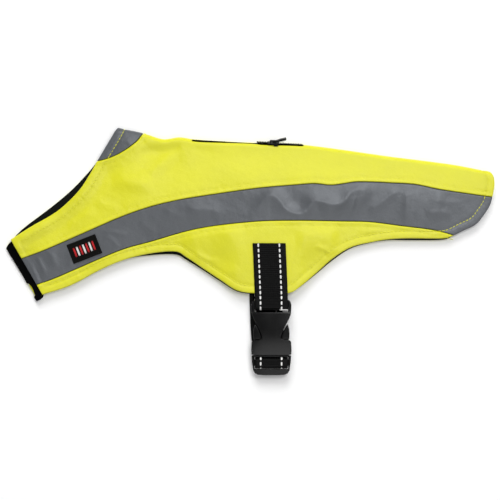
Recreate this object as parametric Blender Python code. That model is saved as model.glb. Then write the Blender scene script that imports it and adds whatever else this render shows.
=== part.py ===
"""A dog safety vest, buckled, folded along its spine and laid flat on its right side.

Seen from above, the spine fold runs along +Y, the chest is at -X and the tail hem at +X.
The left half lies on top with its outer face up ("near"), the right half lies under it
with its outer face on the surface ("far").  Each cloth piece is drawn flat, in pattern
coordinates (x, along): along is the distance round the fold from the spine's crest,
positive on the near side.  A surface function carries the pattern into space, and the
piece becomes a wall between two depths under the garment's outer surface.

Tables and sizes are in millimetres; the meshes are made in metres.
"""

import math

import bmesh
import bpy
from mathutils import Matrix, Vector
from mathutils.geometry import delaunay_2d_cdt

MM = 0.001

# Layers of cloth, as depths under the garment's outer surface.
GAP = 0.3
SHELL = (0.0, 1.2)
LINING = (1.5, 2.5)
LABEL = (-1.1, -GAP)
ZIP_STRIP = (-0.2, 1.2)
FLAT_TOP = 5.4               # outer height of the two halves where they lie flat

# The fold along the spine.
FOLD_RADIUS = 3.4
QUARTER = FOLD_RADIUS * math.pi / 2
SETTLE_RUN = 26.0            # how far in from the fold the near half sinks to FLAT_TOP
LIFT_RUN = 10.0              # how far in from the fold the soft folds reach full height

# Webbing and its buckle.
STRAP_WIDTH = 25.0
STRAP_THICKNESS = 1.4
STRAP_HALF = STRAP_THICKNESS / 2
STRAP_END_Y = 6.2            # where both straps end on the flanks
STRAP_LIFT = STRAP_THICKNESS + GAP
LIFT_X = (-7.0, 32.0)        # the cloth lies level on the far strap between these
LIFT_TOP_Y = 13.0
LIFT_RAMP = 26.0
BUCKLE_X = 16.2
BUCKLE_LOW = 3.4
BUCKLE_HIGH = 10.8
BUCKLE_MID = (BUCKLE_LOW + BUCKLE_HIGH) / 2

# Meshing: steps along edges and of the two halves' grids, and how far the grid reaches.
EDGE_STEP = 6.5
NEAR_COLUMN = 8.0
FAR_COLUMN = 10.0
ROW_GROWTH = 1.6             # each row's gap to the last one's, out from the fold
GRID_CLEAR = 0.45            # share of a row's gap that stays free along an edge
CREASES = tuple(QUARTER * k / 4 for k in range(-4, 5))
X_LIMIT = 192.0
REACH = 150.0
CURVE_PARTS = 10
MERGE = 0.2                  # points of a loop closer than this are one
LEAST_MITRE = 0.4
ON_CREASE = 0.05
TINY = 1e-6

# Spine edge seen from above: x, y.
SPINE = (
    (-101.1, 94.0), (-81.3, 89.9), (-66.1, 85.4), (-53.5, 86.8), (-44.1, 85.4),
    (-26.1, 84.0), (9.1, 82.3), (41.8, 80.9), (105.9, 72.2), (154.4, 65.9), (183.2, 60.3),
)
# Free edges and seams of the near half seen from above: x, y.
COLLAR_FRONT = ((-103.5, 90.0), (-108.2, 82.1), (-116.4, 68.5))
COLLAR_SEAM = (
    (-84.3, 85.5), (-89.6, 80.6), (-96.0, 76.3), (-102.9, 72.6), (-111.0, 69.7),
    (-116.4, 68.5),
)
NECK_NEAR = (
    (-116.4, 68.5), (-122.1, 58.2), (-129.9, 46.5), (-141.5, 34.8), (-151.2, 27.6),
    (-165.8, 19.3), (-181.6, 7.9),
)
NECK_FAR = (
    (-116.4, 68.5), (-123.7, 59.6), (-135.9, 46.8), (-151.2, 33.9), (-170.6, 19.3),
    (-178.4, 12.2),
)
CHEST_END = ((-181.6, 7.9), (-173.8, -5.7), (-162.4, -25.4), (-157.9, -33.2))
BAND_TOP = (
    (-173.8, -5.7), (-155.1, 1.3), (-120.2, 16.5), (-98.8, 25.7), (-78.5, 32.9),
    (-55.7, 38.6), (-26.3, 43.4), (8.7, 48.2), (36.0, 50.5), (49.1, 51.4), (61.1, 50.3),
    (71.1, 51.5), (80.6, 52.9), (92.0, 52.8), (105.9, 52.1),
    (125.2, 50.9), (144.6, 47.0), (173.7, 42.6), (184.4, 41.2),
)
BAND_LOW = (
    (-162.4, -25.4), (-149.3, -20.8), (-131.9, -13.3), (-98.8, 0.7), (-76.0, 7.3),
    (-39.1, 17.4), (2.3, 22.5), (34.5, 23.4), (68.4, 22.9), (91.4, 22.3), (115.5, 19.3),
    (138.9, 16.3), (155.3, 12.1),
)
TAIL_TOP = ((185.4, 56.2), (185.8, 49.4), (184.4, 41.2))
TAIL_LOW = (
    (184.4, 41.2), (182.5, 34.8), (177.6, 27.1), (171.8, 20.3), (162.1, 15.5),
    (155.3, 12.1),
)
# Lower edge from the chest to the tail: x, y, how far the far half shows below it.
LOWER_EDGE = (
    (-157.9, -33.2, 0.0), (-136.6, -26.2, 0.0), (-112.5, -13.6, 0.0), (-93.0, -5.8, 0.0),
    (-73.7, -1.5, 0.0), (-56.7, -0.3, 0.6), (-48.3, -4.7, 1.2), (-34.6, -13.9, 1.3),
    (-23.5, -21.2, 1.2), (-8.5, -30.3, 0.8), (11.4, -32.3, 0.2), (29.5, -31.9, 0.0),
    (38.0, -27.1, 0.2), (50.6, -16.5, 0.8), (63.2, -5.4, 1.4), (76.8, 2.9, 0.8),
    (92.3, 6.8, 0.3), (105.9, 9.0, 0.6), (120.4, 9.7, 1.3), (146.6, 9.7, 1.0),
    (155.3, 12.1, 0.0),
)
# Soft folds of the near half: x, y, direction in degrees, half length, half width, height.
SOFT_FOLDS = (
    (-66.0, 78.5, 12.0, 15.0, 5.0, -1.1),
    (-64.0, 68.5, 20.0, 16.0, 6.0, 0.6),
    (-92.0, 51.0, 8.0, 16.0, 7.0, 0.8),
    (15.0, 37.0, 80.0, 12.0, 6.0, 0.5),
    (61.0, 35.0, 70.0, 11.0, 8.0, 0.8),
    (83.0, 39.0, 62.0, 11.0, 5.5, 0.9),
    (119.5, 34.0, 88.0, 14.0, 6.0, 0.7),
    (142.0, 38.0, 70.0, 10.0, 5.0, 0.6),
    (-96.0, 10.0, 60.0, 12.0, 8.0, 0.5),
)

# Leash slit on the near side of the crest: x, along of its centre line.
ZIP_LINE = ((-46.0, 2.7), (-20.0, 1.9), (8.0, 1.5), (43.0, 1.4))
SLIT_HALF = 1.5
STRIP_HALF = 1.2
SLIT_END_HALF = 0.6
STRIP_END_HALF = 0.3

# Chest closure: a fold of the far half beyond the near half's end.
CLOSURE_START = (-185.9, 2.4)
CLOSURE_END = (-162.9, -35.5)
CLOSURE_RADIUS = 1.3
CLOSURE_QUARTER = CLOSURE_RADIUS * math.pi / 2
CLOSURE_CREASES = tuple(CLOSURE_QUARTER * k / 3 for k in range(-3, 4))
CLOSURE_ROWS = CLOSURE_CREASES + (6.0,)
CLOSURE_COLUMNS = (8.0, 16.0, 24.0, 32.0, 38.0)
CLOSURE_CLEAR = 0.3
CLOSURE_SET_IN = 1.2         # the fold's upper part stands this far inside its lower part
CLOSURE_STEP = (26.0, 38.0)  # between these the fold comes out
TAB_LAYER = (0.0, 1.0)
LOOP_LAYER = (-GAP - 1.0, -GAP)
TAB_UNDER = 8.0              # reach of the tab's lower leg
TAB_OVER = 11.0              # reach of its upper leg
SHELL_CLEAR = TAB_UNDER + GAP
LINING_CLEAR = TAB_OVER + 2 * GAP
# Outline of the tab and of its loop tape: s along the fold, along round it.
TAB_OUTLINE = (
    (-1.5, -7.0), (-1.4, -3.5), (0.2, 0.0), (-1.2, 3.0), (-1.6, 6.0), (-1.6, TAB_OVER),
    (44.6, TAB_OVER), (44.6, 6.0), (46.6, 2.4), (46.4, 0.0), (45.6, -3.5), (45.4, -7.0),
)
LOOP_OUTLINE = (
    (1.2, -0.2), (-0.5, 3.0), (-0.8, 6.0), (-0.8, 10.0), (43.8, 10.0), (43.8, 6.0),
    (45.6, 3.4), (43.0, 2.5), (35.0, 2.4), (32.0, 1.2), (30.0, -0.2),
)

# How far the lining's edge lies inside the garment's, on the far and the near half.
LINING_INSET = (0.4, 1.6)
LINING_INSET_RUN = 12.0

LABEL_CENTRE = (-125.7, 1.8)
LABEL_SIZE = (23.3, 15.3)
LABEL_TURN = 21.0

# Half outlines of the buckle seen from above: y, distance from its middle line.
SOCKET_WAIST = (
    (-46.2, 15.0), (-49.0, 14.3), (-52.4, 12.8), (-56.0, 10.8), (-60.0, 8.8),
    (-64.0, 7.3), (-66.6, 7.3),
)
SOCKET_BASE = (
    (-66.0, 7.3), (-66.8, 9.5), (-67.6, 14.2), (-69.0, 15.0), (-74.9, 15.3), (-78.4, 15.1),
    (-78.7, 9.0),
)
SOCKET_ARM = (
    (-36.6, 12.7), (-37.4, 13.9), (-38.8, 14.8), (-41.1, 15.2), (-47.0, 14.9), (-47.0, 12.7),
)
PRONG_TAB = (
    (-55.2, 12.4), (-58.5, 13.4), (-62.0, 13.8), (-66.3, 13.6), (-66.3, 8.1), (-64.4, 7.9),
    (-60.2, 9.4), (-56.2, 11.4),
)
LADDER = (
    (-78.9, 15.0), (-84.0, 14.7), (-90.4, 13.8), (-92.6, 12.4), (-93.6, 10.4),
    (-94.0, 6.0),
)
PLATE = 1.6                  # buckle plates
SOCKET_WALL_IN = 13.9
SLOT_HALF = 12.8
ARM_LOW, ARM_HIGH = 4.6, 9.6
BAR_HALF = (2.3, 1.2)        # the socket's bar: half its width along y, half its height
BAR_Y = -39.7
PRONG_BASE_HALF = 13.5
PRONG_BASE_Y = (-79.6, -68.0)
PRONG_INSIDE = (5.3, 8.9)    # heights of what lies inside the socket
PRONG_NECK = ((-65.4, 13.2), (-68.6, 13.2), (-68.6, 8.3), (-65.4, 8.3))
LADDER_HEIGHT = (4.5, 9.7)
LADDER_WINDOW = (-80.0, -89.2)
LADDER_TOP_Y = -79.0
LADDER_END_Y = -90.0         # past this the frame's end is solid
LADDER_BAR_Y = -84.5
LADDER_BAR_HALF = (2.3, 1.0)
JOIN_IN = 0.7                # how far joined forms reach into each other

# Straps: y, x of their middle line.
NEAR_STRAP_LINE = ((STRAP_END_Y, 14.5), (-31.7, 16.1), (-43.8, 16.3), (-60.0, 16.3))
FAR_STRAP_LINE = ((STRAP_END_Y, 11.5), (-32.0, 12.0), (-67.0, 13.6), (-78.0, 16.1),
                  (-87.0, 16.2))
# Straps from the side: y where they lie level, then y, z where they rise or fall.
NEAR_LEVEL_Y = (STRAP_END_Y, -2.0, -10.0, -18.0, -26.0, -32.0)
NEAR_RISE_Y = (-34.5, -37.0, -38.8)
NEAR_RISE = (0.3, 0.1)       # above the cloth at the first, under the bar's turn at the next
NEAR_BACK_Y = (-37.5, -34.2)
FAR_LEVEL_Y = (STRAP_END_Y, -5.0, -18.0, -32.0, -45.0, -58.0, -70.0, -78.0, -82.5)
FAR_UP = ((-84.6, 0.85), (-86.4, 1.7), (-87.4, 3.2))
FAR_UP_LAST = 5.2
FAR_DOWN_FIRST = 5.4
FAR_DOWN = ((-81.0, 4.1), (-80.3, 3.0), (-79.0, 2.48))
FAR_TAIL_Y = (-77.0, -68.0, -59.0, -51.0)

# Zip slider and pull, in the slider's own frame.
SLIDER_X = 17.5
SLIDER_PLATE = (0.5, 1.1)    # height over the cloth
SLIDER_OUTLINE = ((-4.8, 1.5), (-3.6, 2.5), (0.6, 3.2), (3.6, 3.1), (4.8, 2.4))
SLIDER_FLANGE = (2.5, -0.8)  # inner half width, lowest height
CROWN_HALF = 1.0
CROWN_LENGTH_HALF = 2.4
CROWN_POST = (1.5, 2.3)
CROWN_TOP = (2.3, 2.8)
FLANGE_FROM = 2.8            # flanges run along the outline where it is wider than this
STEP_IN = 0.1                # faces of joined forms stand this far apart
SINK = 0.2                   # how far a form reaches into the next
PIVOT_HEIGHT = 1.7
PULL_BAR_RADIUS = 0.3
PULL_REST = 15.0             # degrees from the zip line
PULL_LENGTH = 10.2
PULL_EYE = 2.9
PULL_ARM = (1.3, 2.3)
PULL_THICK = (0.4, 0.7)      # half thickness at the eye and at the grip
PULL_GRIP_START = 5.6
PULL_TAPER = 0.8             # half thickness at the axle, as a share of the eye's
PULL_OVERLAP = 0.5

# The whole part is moved so that the middle of its box stands on the origin.
CENTRE_SHIFT = (-0.11, -0.05)

COLOURS = {
    "yellow": ((0.78, 0.78, 0.035), 0.75, 0.0),
    "reflective": ((0.14, 0.15, 0.16), 0.5, 0.0),
    "black_cloth": ((0.012, 0.012, 0.012), 0.85, 0.0),
    "webbing": ((0.010, 0.010, 0.010), 0.7, 0.0),
    "label": ((0.012, 0.012, 0.014), 0.6, 0.0),
    "plastic": ((0.012, 0.012, 0.013), 0.4, 0.0),
    "slider": ((0.020, 0.020, 0.022), 0.35, 0.6),
}


# ---------------------------------------------------------------- curves

def smooth_step(value):
    value = min(max(value, 0.0), 1.0)
    return value * value * (3.0 - 2.0 * value)


def read_table(table, x):
    """The second column of a table at x: a smooth curve, straight past its ends."""
    slopes = []
    for i in range(len(table)):
        before = table[max(i - 1, 0)]
        after = table[min(i + 1, len(table) - 1)]
        slopes.append((after[1] - before[1]) / (after[0] - before[0]))
    if (x - table[0][0]) * (table[-1][0] - table[0][0]) <= 0.0:
        return table[0][1] + slopes[0] * (x - table[0][0])
    for i in range(len(table) - 1):
        (x0, y0), (x1, y1) = table[i][:2], table[i + 1][:2]
        t = (x - x0) / (x1 - x0)
        if t <= 1.0:
            return (y0 * (1 + 2 * t) * (1 - t) ** 2 + y1 * t * t * (3 - 2 * t)
                    + (slopes[i] * (1 - t) - slopes[i + 1] * t) * t * (1 - t) * (x1 - x0))
    return table[-1][1] + slopes[-1] * (x - table[-1][0])


def smooth_curve(points, step=EDGE_STEP):
    """A smooth curve through the points, read again at even steps."""
    points = [Vector(point) for point in points]
    first = points[0] * 2 - points[1]
    last = points[-1] * 2 - points[-2]
    padded = [first] + points + [last]
    dense = []
    for p0, p1, p2, p3 in zip(padded, padded[1:], padded[2:], padded[3:]):
        for k in range(CURVE_PARTS):
            t = k / CURVE_PARTS
            dense.append(0.5 * (2 * p1 + (p2 - p0) * t + (2 * p0 - 5 * p1 + 4 * p2 - p3) * t * t
                                + (3 * p1 - p0 - 3 * p2 + p3) * t ** 3))
    dense.append(points[-1])
    return even_steps(dense, step)


def even_steps(line, step):
    """The line read again at equal steps of about the given length, ends kept."""
    line = [Vector(point) for point in line]
    lengths = [0.0]
    for a, b in zip(line, line[1:]):
        lengths.append(lengths[-1] + (b - a).length)
    count = max(1, round(lengths[-1] / step))
    result = []
    i = 0
    for k in range(count + 1):
        target = lengths[-1] * k / count
        while i < len(line) - 2 and lengths[i + 1] < target:
            i += 1
        span = lengths[i + 1] - lengths[i]
        result.append(line[i].lerp(line[i + 1], (target - lengths[i]) / span if span else 0.0))
    return result


def join(*curves):
    """One closed loop from curves that meet end to end."""
    loop = []
    for curve in curves:
        for point in curve:
            point = Vector(point)
            if not loop or (point - loop[-1]).length > MERGE:
                loop.append(point)
    if (loop[0] - loop[-1]).length <= MERGE:
        loop.pop()
    return loop


def area_of(loop):
    return 0.5 * sum(a.x * b.y - b.x * a.y for a, b in zip(loop, loop[1:] + loop[:1]))


def inset(loop, amount):
    """The loop moved inward; amount is a distance or a function of the point."""
    if area_of(loop) < 0:
        loop = loop[::-1]
    moved = []
    for before, point, after in zip(loop[-1:] + loop[:-1], loop, loop[1:] + loop[:1]):
        a = (point - before).normalized()
        b = (after - point).normalized()
        inward = Vector((-a.y - b.y, a.x + b.x)).normalized()
        reach = max(inward.dot(Vector((-a.y, a.x))), LEAST_MITRE)
        distance = amount(point) if callable(amount) else amount
        moved.append(point + inward * (distance / reach))
    return moved


def trim(loop, keep):
    """The part of the loop where keep(point) is positive."""
    kept = []
    for a, b in zip(loop, loop[1:] + loop[:1]):
        ka, kb = keep(a), keep(b)
        if ka >= 0:
            kept.append(a)
        if ka * kb < 0:
            kept.append(a.lerp(b, ka / (ka - kb)))
    return join(kept)


def is_inside(point, loops):
    inside = False
    for loop in loops:
        for a, b in zip(loop, loop[1:] + loop[:1]):
            if (a.y > point.y) != (b.y > point.y):
                if point.x < a.x + (point.y - a.y) / (b.y - a.y) * (b.x - a.x):
                    inside = not inside
    return inside


def distance_to(point, loops):
    best = math.inf
    for loop in loops:
        for a, b in zip(loop, loop[1:] + loop[:1]):
            side = b - a
            t = min(max((point - a).dot(side) / side.length_squared, 0.0), 1.0)
            best = min(best, (a + side * t - point).length)
    return best


# ---------------------------------------------------------------- surfaces

def fold_section(along, radius, settle):
    """Section of a fold: distance in, height, and the outward direction of both."""
    quarter = radius * math.pi / 2
    turn = min(abs(along), quarter) / radius
    run = max(abs(along) - quarter, 0.0)
    up = 1.0 if along >= 0 else -1.0
    inward = radius * (1 - math.cos(turn)) + run
    height = radius + up * radius * math.sin(turn)
    if run == 0.0:
        return inward, height, -math.cos(turn), up * math.sin(turn)
    if up < 0 or settle == 0.0:
        return inward, height, 0.0, up
    share = min(run / SETTLE_RUN, 1.0)
    slope = settle * 6 * share * (1 - share) / SETTLE_RUN
    size = math.hypot(slope, 1.0)
    return inward, height - settle * smooth_step(share), slope / size, 1.0 / size


def strap_lift(x, y):
    """How far the cloth is carried up by the far strap under it."""
    across = 1.0 - smooth_step((LIFT_X[0] - x) / LIFT_RAMP)
    across *= 1.0 - smooth_step((x - LIFT_X[1]) / LIFT_RAMP)
    return STRAP_LIFT * across * (1.0 - smooth_step((y - LIFT_TOP_Y) / LIFT_RAMP))


def fold_lift(x, y):
    """Soft folds of the near half."""
    total = 0.0
    for fold_x, fold_y, turn, half_length, half_width, height in SOFT_FOLDS:
        c, s = math.cos(math.radians(turn)), math.sin(math.radians(turn))
        u = ((x - fold_x) * c + (y - fold_y) * s) / half_length
        v = ((y - fold_y) * c - (x - fold_x) * s) / half_width
        total += height * math.exp(-u * u - v * v)
    return total


def garment_point(x, along, depth):
    """The folded garment: pattern coordinates and depth to a point in space."""
    inward, height, out_in, out_up = fold_section(along, FOLD_RADIUS, 2 * FOLD_RADIUS - FLAT_TOP)
    y = read_table(SPINE, x) - inward
    height += strap_lift(x, y)
    if along > 0:
        height += fold_lift(x, y) * smooth_step((along - QUARTER / 2) / LIFT_RUN)
    return Vector((x, y + depth * out_in, height - depth * out_up))


def closure_frame():
    start, end = Vector(CLOSURE_START), Vector(CLOSURE_END)
    down = (end - start).normalized()
    return start, down, Vector((-down.y, down.x))


def closure_inward(x, y):
    """Distance of a place on the garment in from the chest closure's outer line."""
    start, _, inward = closure_frame()
    return (Vector((x, y)) - start).dot(inward)


def closure_point(s, along, depth):
    """The turned end of the far half at the chest closure."""
    start, down, inward = closure_frame()
    into, height, out_in, out_up = fold_section(along, CLOSURE_RADIUS, 0.0)
    share = (s - CLOSURE_STEP[0]) / (CLOSURE_STEP[1] - CLOSURE_STEP[0])
    set_in = CLOSURE_SET_IN * (1.0 - smooth_step(share))
    place = start + down * s + inward * (into + set_in - depth * out_in)
    return Vector((place.x, place.y, height - depth * out_up))


def pattern(x, y, side):
    """Pattern coordinates of a place seen from above, on the near or the far side."""
    inward = max(read_table(SPINE, x) - y, 0.0)
    if inward < FOLD_RADIUS:
        return Vector((x, side * FOLD_RADIUS * math.acos(1 - inward / FOLD_RADIUS)))
    return Vector((x, side * (QUARTER + inward - FOLD_RADIUS)))


def pattern_inward(point):
    """closure_inward of a point given in pattern coordinates."""
    inward = fold_section(point.y, FOLD_RADIUS, 0.0)[0]
    return closure_inward(point.x, read_table(SPINE, point.x) - inward)


# ---------------------------------------------------------------- cloth walls

def grid_rows():
    """Rows of the pattern grid: along and the gap to the next row."""
    rows = [(crease, QUARTER / 4) for crease in CREASES]
    for side, step in ((1, NEAR_COLUMN), (-1, FAR_COLUMN)):
        along = QUARTER
        gap = QUARTER / 4
        while along < REACH:
            gap = min(gap * ROW_GROWTH, step)
            along += gap
            rows.append((side * along, gap))
    return rows


def grid_points():
    """Points of the pattern grid, the same for every layer: point, clearance."""
    points = []
    for number, (along, gap) in enumerate(grid_rows()):
        column = NEAR_COLUMN if along > -QUARTER - ON_CREASE else FAR_COLUMN
        shift = 0.5 * column * (number % 2) if abs(along) > QUARTER + ON_CREASE else 0.0
        count = int(X_LIMIT / column)
        for k in range(-count, count + 1):
            points.append((Vector((k * column + shift, along)), GRID_CLEAR * gap))
    return points


def closure_grid():
    return [(Vector((s, along)), CLOSURE_CLEAR) for along in CLOSURE_ROWS for s in CLOSURE_COLUMNS]


def split_at_creases(loop, creases):
    """The loop with a point where it crosses each crease line."""
    loop = [Vector((p.x, next((c for c in creases if abs(c - p.y) < ON_CREASE), p.y)))
            for p in loop]
    result = []
    for a, b in zip(loop, loop[1:] + loop[:1]):
        result.append(a)
        crossed = [c for c in creases if min(a.y, b.y) < c - TINY and c + TINY < max(a.y, b.y)]
        for crease in sorted(crossed, reverse=a.y > b.y):
            x = a.x + (crease - a.y) / (b.y - a.y) * (b.x - a.x)
            result.append(Vector((x, crease)))
    return result


def triangulate(loops, grid, creases):
    """Points and triangles of a flat piece, with edges along its crease lines."""
    loops = [split_at_creases(loop, creases) for loop in loops]
    points, edges = [], []
    for loop in loops:
        start = len(points)
        points += loop
        edges += [(start + i, start + (i + 1) % len(loop)) for i in range(len(loop))]
    for point, clearance in grid:
        if is_inside(point, loops) and distance_to(point, loops) > clearance:
            points.append(point)
    for crease in creases:
        row = sorted((p.x, i) for i, p in enumerate(points) if abs(p.y - crease) < TINY)
        for (xa, a), (xb, b) in zip(row, row[1:]):
            if is_inside(Vector(((xa + xb) / 2, crease)), loops):
                edges.append((a, b))
    flat, _, faces, *_ = delaunay_2d_cdt(points, edges, [], 0, 10 * TINY)
    kept = []
    for face in faces:
        middle = sum((flat[i] for i in face), Vector((0.0, 0.0))) / 3
        if is_inside(middle, loops):
            kept.append(tuple(face))
    return flat, kept


def wall(name, loops, layer, material, surface=garment_point, grid=None, creases=CREASES):
    """A cloth piece: its flat shape carried onto the surface, between two depths."""
    flat, triangles = triangulate(loops, grid or grid_points(), creases)
    used = sorted({i for triangle in triangles for i in triangle})
    place = {old: new for new, old in enumerate(used)}
    count = len(used)
    points = [surface(flat[i].x, flat[i].y, depth) * MM for depth in layer for i in used]
    faces = []
    rim = {}
    for triangle in triangles:
        a, b, c = (place[i] for i in triangle)
        faces.append((c, b, a))
        faces.append((a + count, b + count, c + count))
        for edge in ((a, b), (b, c), (c, a)):
            if edge[::-1] in rim:
                del rim[edge[::-1]]
            else:
                rim[edge] = True
    for a, b in rim:
        faces.append((a, b, b + count))
        faces.append((a, b + count, a + count))
    return add_object(name, points, faces, material)


def add_object(name, points, faces, material):
    """A closed mesh object with its faces pointing out."""
    mesh = bpy.data.meshes.new(name)
    mesh.from_pydata([tuple(point) for point in points], [], faces)
    shape = bmesh.new()
    shape.from_mesh(mesh)
    bmesh.ops.recalc_face_normals(shape, faces=shape.faces)
    shape.to_mesh(mesh)
    shape.free()
    mesh.materials.append(get_material(material))
    result = bpy.data.objects.new(name, mesh)
    bpy.context.collection.objects.link(result)
    return result


def get_material(name):
    if name in bpy.data.materials:
        return bpy.data.materials[name]
    colour, roughness, metallic = COLOURS[name]
    material = bpy.data.materials.new(name)
    material.use_nodes = True
    shader = material.node_tree.nodes["Principled BSDF"]
    shader.inputs["Base Color"].default_value = (*colour, 1.0)
    shader.inputs["Roughness"].default_value = roughness
    shader.inputs["Metallic"].default_value = metallic
    return material


# ---------------------------------------------------------------- pieces of the vest

def edge_curve(table, side):
    """A curve seen from above, on the near or the far side."""
    return [pattern(p.x, p.y, side) for p in smooth_curve([row[:2] for row in table])]


def over_crest(table, crest_x):
    """A curve from the far side over the crest to the near side."""
    near = [pattern(x, y, 1) for x, y in table]
    far = [Vector((p.x, -p.y)) for p in reversed(near)]
    return smooth_curve(far + [Vector((crest_x, 0.0))] + near)


def lower_edge(side):
    """The lower edge from chest to tail; the far half reaches a little lower."""
    return edge_curve([(x, y - (more if side < 0 else 0.0)) for x, y, more in LOWER_EDGE], side)


def piece_loop(*curves):
    """The outline of a sewn piece, half a seam gap inside its seam lines."""
    return inset(join(*curves), GAP / 2)


def shell_keep(point):
    """Far shell pieces stop where the chest closure's tab begins."""
    return pattern_inward(point) - SHELL_CLEAR if point.y < 0 else 1.0


def slit_loop(half_width):
    """The leash slit, or the strip that fills it, as a long loop with narrowed ends."""
    margin = SLIT_HALF - half_width
    start, end = ZIP_LINE[0][0] + margin, ZIP_LINE[-1][0] - margin
    middle = even_steps([(start, 0.0), (end, 0.0)], EDGE_STEP)
    ends = max(SLIT_END_HALF - margin, STRIP_END_HALF)
    halves = [ends if k in (0, len(middle) - 1) else half_width for k in range(len(middle))]
    near = [Vector((p.x, read_table(ZIP_LINE, p.x) + h)) for p, h in zip(middle, halves)]
    far = [Vector((p.x, read_table(ZIP_LINE, p.x) - h)) for p, h in zip(middle, halves)]
    return near + far[::-1]


def make_back_panel():
    near_chest = edge_curve(CHEST_END[:2], 1)
    loop = piece_loop(
        over_crest(COLLAR_SEAM, SPINE[1][0]),
        edge_curve(NECK_NEAR, 1),
        near_chest,
        edge_curve(BAND_TOP, 1),
        over_crest(TAIL_TOP, SPINE[-1][0])[::-1],
        edge_curve(BAND_TOP, -1)[::-1],
        edge_curve(CHEST_END[:2], -1)[::-1],
        edge_curve(NECK_FAR, -1)[::-1],
    )
    wall("back_panel", [trim(loop, shell_keep), slit_loop(SLIT_HALF)], SHELL, "yellow")


def make_collar_patch():
    loop = piece_loop(over_crest(COLLAR_SEAM, SPINE[1][0]),
                      over_crest(COLLAR_FRONT, SPINE[0][0])[::-1])
    wall("collar_patch", [loop], SHELL, "reflective")


def make_sides():
    """The reflective band and the flank below it, on each half."""
    for side, half in ((1, "near"), (-1, "far")):
        band = piece_loop(edge_curve(BAND_TOP, side), edge_curve(TAIL_LOW, side),
                          edge_curve(BAND_LOW, side)[::-1], edge_curve(CHEST_END[1:3], side)[::-1])
        flank = piece_loop(edge_curve(BAND_LOW, side), lower_edge(side)[::-1],
                           edge_curve(CHEST_END[2:], side)[::-1])
        wall(half + "_band", [trim(band, shell_keep)], SHELL, "reflective")
        wall(half + "_flank", [trim(flank, shell_keep)], SHELL, "yellow")


def make_lining():
    """One black piece inside, over the spine, which shows past the near half's edges."""
    loop = join(
        over_crest(COLLAR_FRONT, SPINE[0][0]),
        edge_curve(NECK_NEAR, 1),
        edge_curve((CHEST_END[0], CHEST_END[-1]), 1),
        lower_edge(1),
        edge_curve(TAIL_LOW, 1)[::-1],
        over_crest(TAIL_TOP, SPINE[-1][0])[::-1],
        edge_curve(TAIL_LOW, -1),
        lower_edge(-1)[::-1],
        edge_curve((NECK_FAR[-1], CHEST_END[-1]), -1)[::-1],
        edge_curve(NECK_FAR, -1)[::-1],
    )
    far, near = LINING_INSET
    loop = inset(loop, lambda p: far + (near - far) * smooth_step(p.y / LINING_INSET_RUN + 0.5))
    loop = trim(loop, lambda point: pattern_inward(point) - LINING_CLEAR)
    wall("lining", [loop], LINING, "black_cloth")


def make_closure():
    """The far half's end, turned up at the chest, and the loop tape on it."""
    tab = join(TAB_OUTLINE)
    tape = join(LOOP_OUTLINE)
    options = {"surface": closure_point, "grid": closure_grid(), "creases": CLOSURE_CREASES}
    wall("closure_tab", [tab], TAB_LAYER, "yellow", **options)
    wall("closure_loop", [tape], LOOP_LAYER, "black_cloth", **options)


def make_label():
    turn = Matrix.Rotation(math.radians(LABEL_TURN), 2)
    corners = []
    for u, v in ((-1, -1), (1, -1), (1, 1), (-1, 1)):
        corner = turn @ Vector((u * LABEL_SIZE[0] / 2, v * LABEL_SIZE[1] / 2))
        corners.append(pattern(LABEL_CENTRE[0] + corner.x, LABEL_CENTRE[1] + corner.y, 1))
    sides = zip(corners, corners[1:] + corners[:1])
    loop = join(*[even_steps(side, EDGE_STEP) for side in sides])
    wall("label", [loop], LABEL, "label")


def make_zip_strip():
    wall("zip_strip", [slit_loop(STRIP_HALF)], ZIP_STRIP, "black_cloth")


# ---------------------------------------------------------------- straps

def half_turn(centre_y, centre_z, radius, start, end, steps=6):
    """Points round a bar, in the y-z plane; angles in degrees from +Y towards +Z."""
    points = []
    for k in range(steps + 1):
        turn = math.radians(start + (end - start) * k / steps)
        points.append((centre_y + radius * math.cos(turn), centre_z + radius * math.sin(turn)))
    return points


def ribbon(name, line, route):
    """A flat strap along a route of y, z points; line gives its middle's x at each y."""
    points = []
    for i, (y, z) in enumerate(route):
        before, after = route[max(i - 1, 0)], route[min(i + 1, len(route) - 1)]
        way = Vector((after[0] - before[0], after[1] - before[1])).normalized()
        out = Vector((-way.y, way.x)) * STRAP_HALF
        x = read_table(line, max(y, line[-1][0]))
        for side, face in ((-1, -1), (1, -1), (1, 1), (-1, 1)):
            corner = Vector((x + side * STRAP_WIDTH / 2, y + face * out.x, z + face * out.y))
            points.append(corner * MM)
    faces = [(0, 1, 2, 3), tuple(len(points) - 4 + k for k in (3, 2, 1, 0))]
    for i in range(len(route) - 1):
        for k in range(4):
            a, b = 4 * i + k, 4 * i + (k + 1) % 4
            faces += [(a, b, b + 4), (a, b + 4, a + 4)]
    add_object(name, points, faces, "webbing")


def make_near_strap():
    """From the near flank over the socket's bar, through its slot and back under it."""
    on_cloth = FLAT_TOP + STRAP_LIFT + GAP + STRAP_HALF
    end_y = BAR_Y - BAR_HALF[0] + BAR_HALF[1]
    radius = BAR_HALF[1] + GAP + STRAP_HALF
    first, second, third = NEAR_RISE_Y
    route = [(y, on_cloth) for y in NEAR_LEVEL_Y]
    route += [(first, on_cloth + NEAR_RISE[0]), (second, BUCKLE_MID + radius - NEAR_RISE[1])]
    route += [(third, BUCKLE_MID + radius)]
    route += half_turn(end_y, BUCKLE_MID, radius, 90, 270, 8)
    route += [(y, BUCKLE_MID - radius) for y in NEAR_BACK_Y]
    ribbon("near_strap", NEAR_STRAP_LINE, route)


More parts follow.
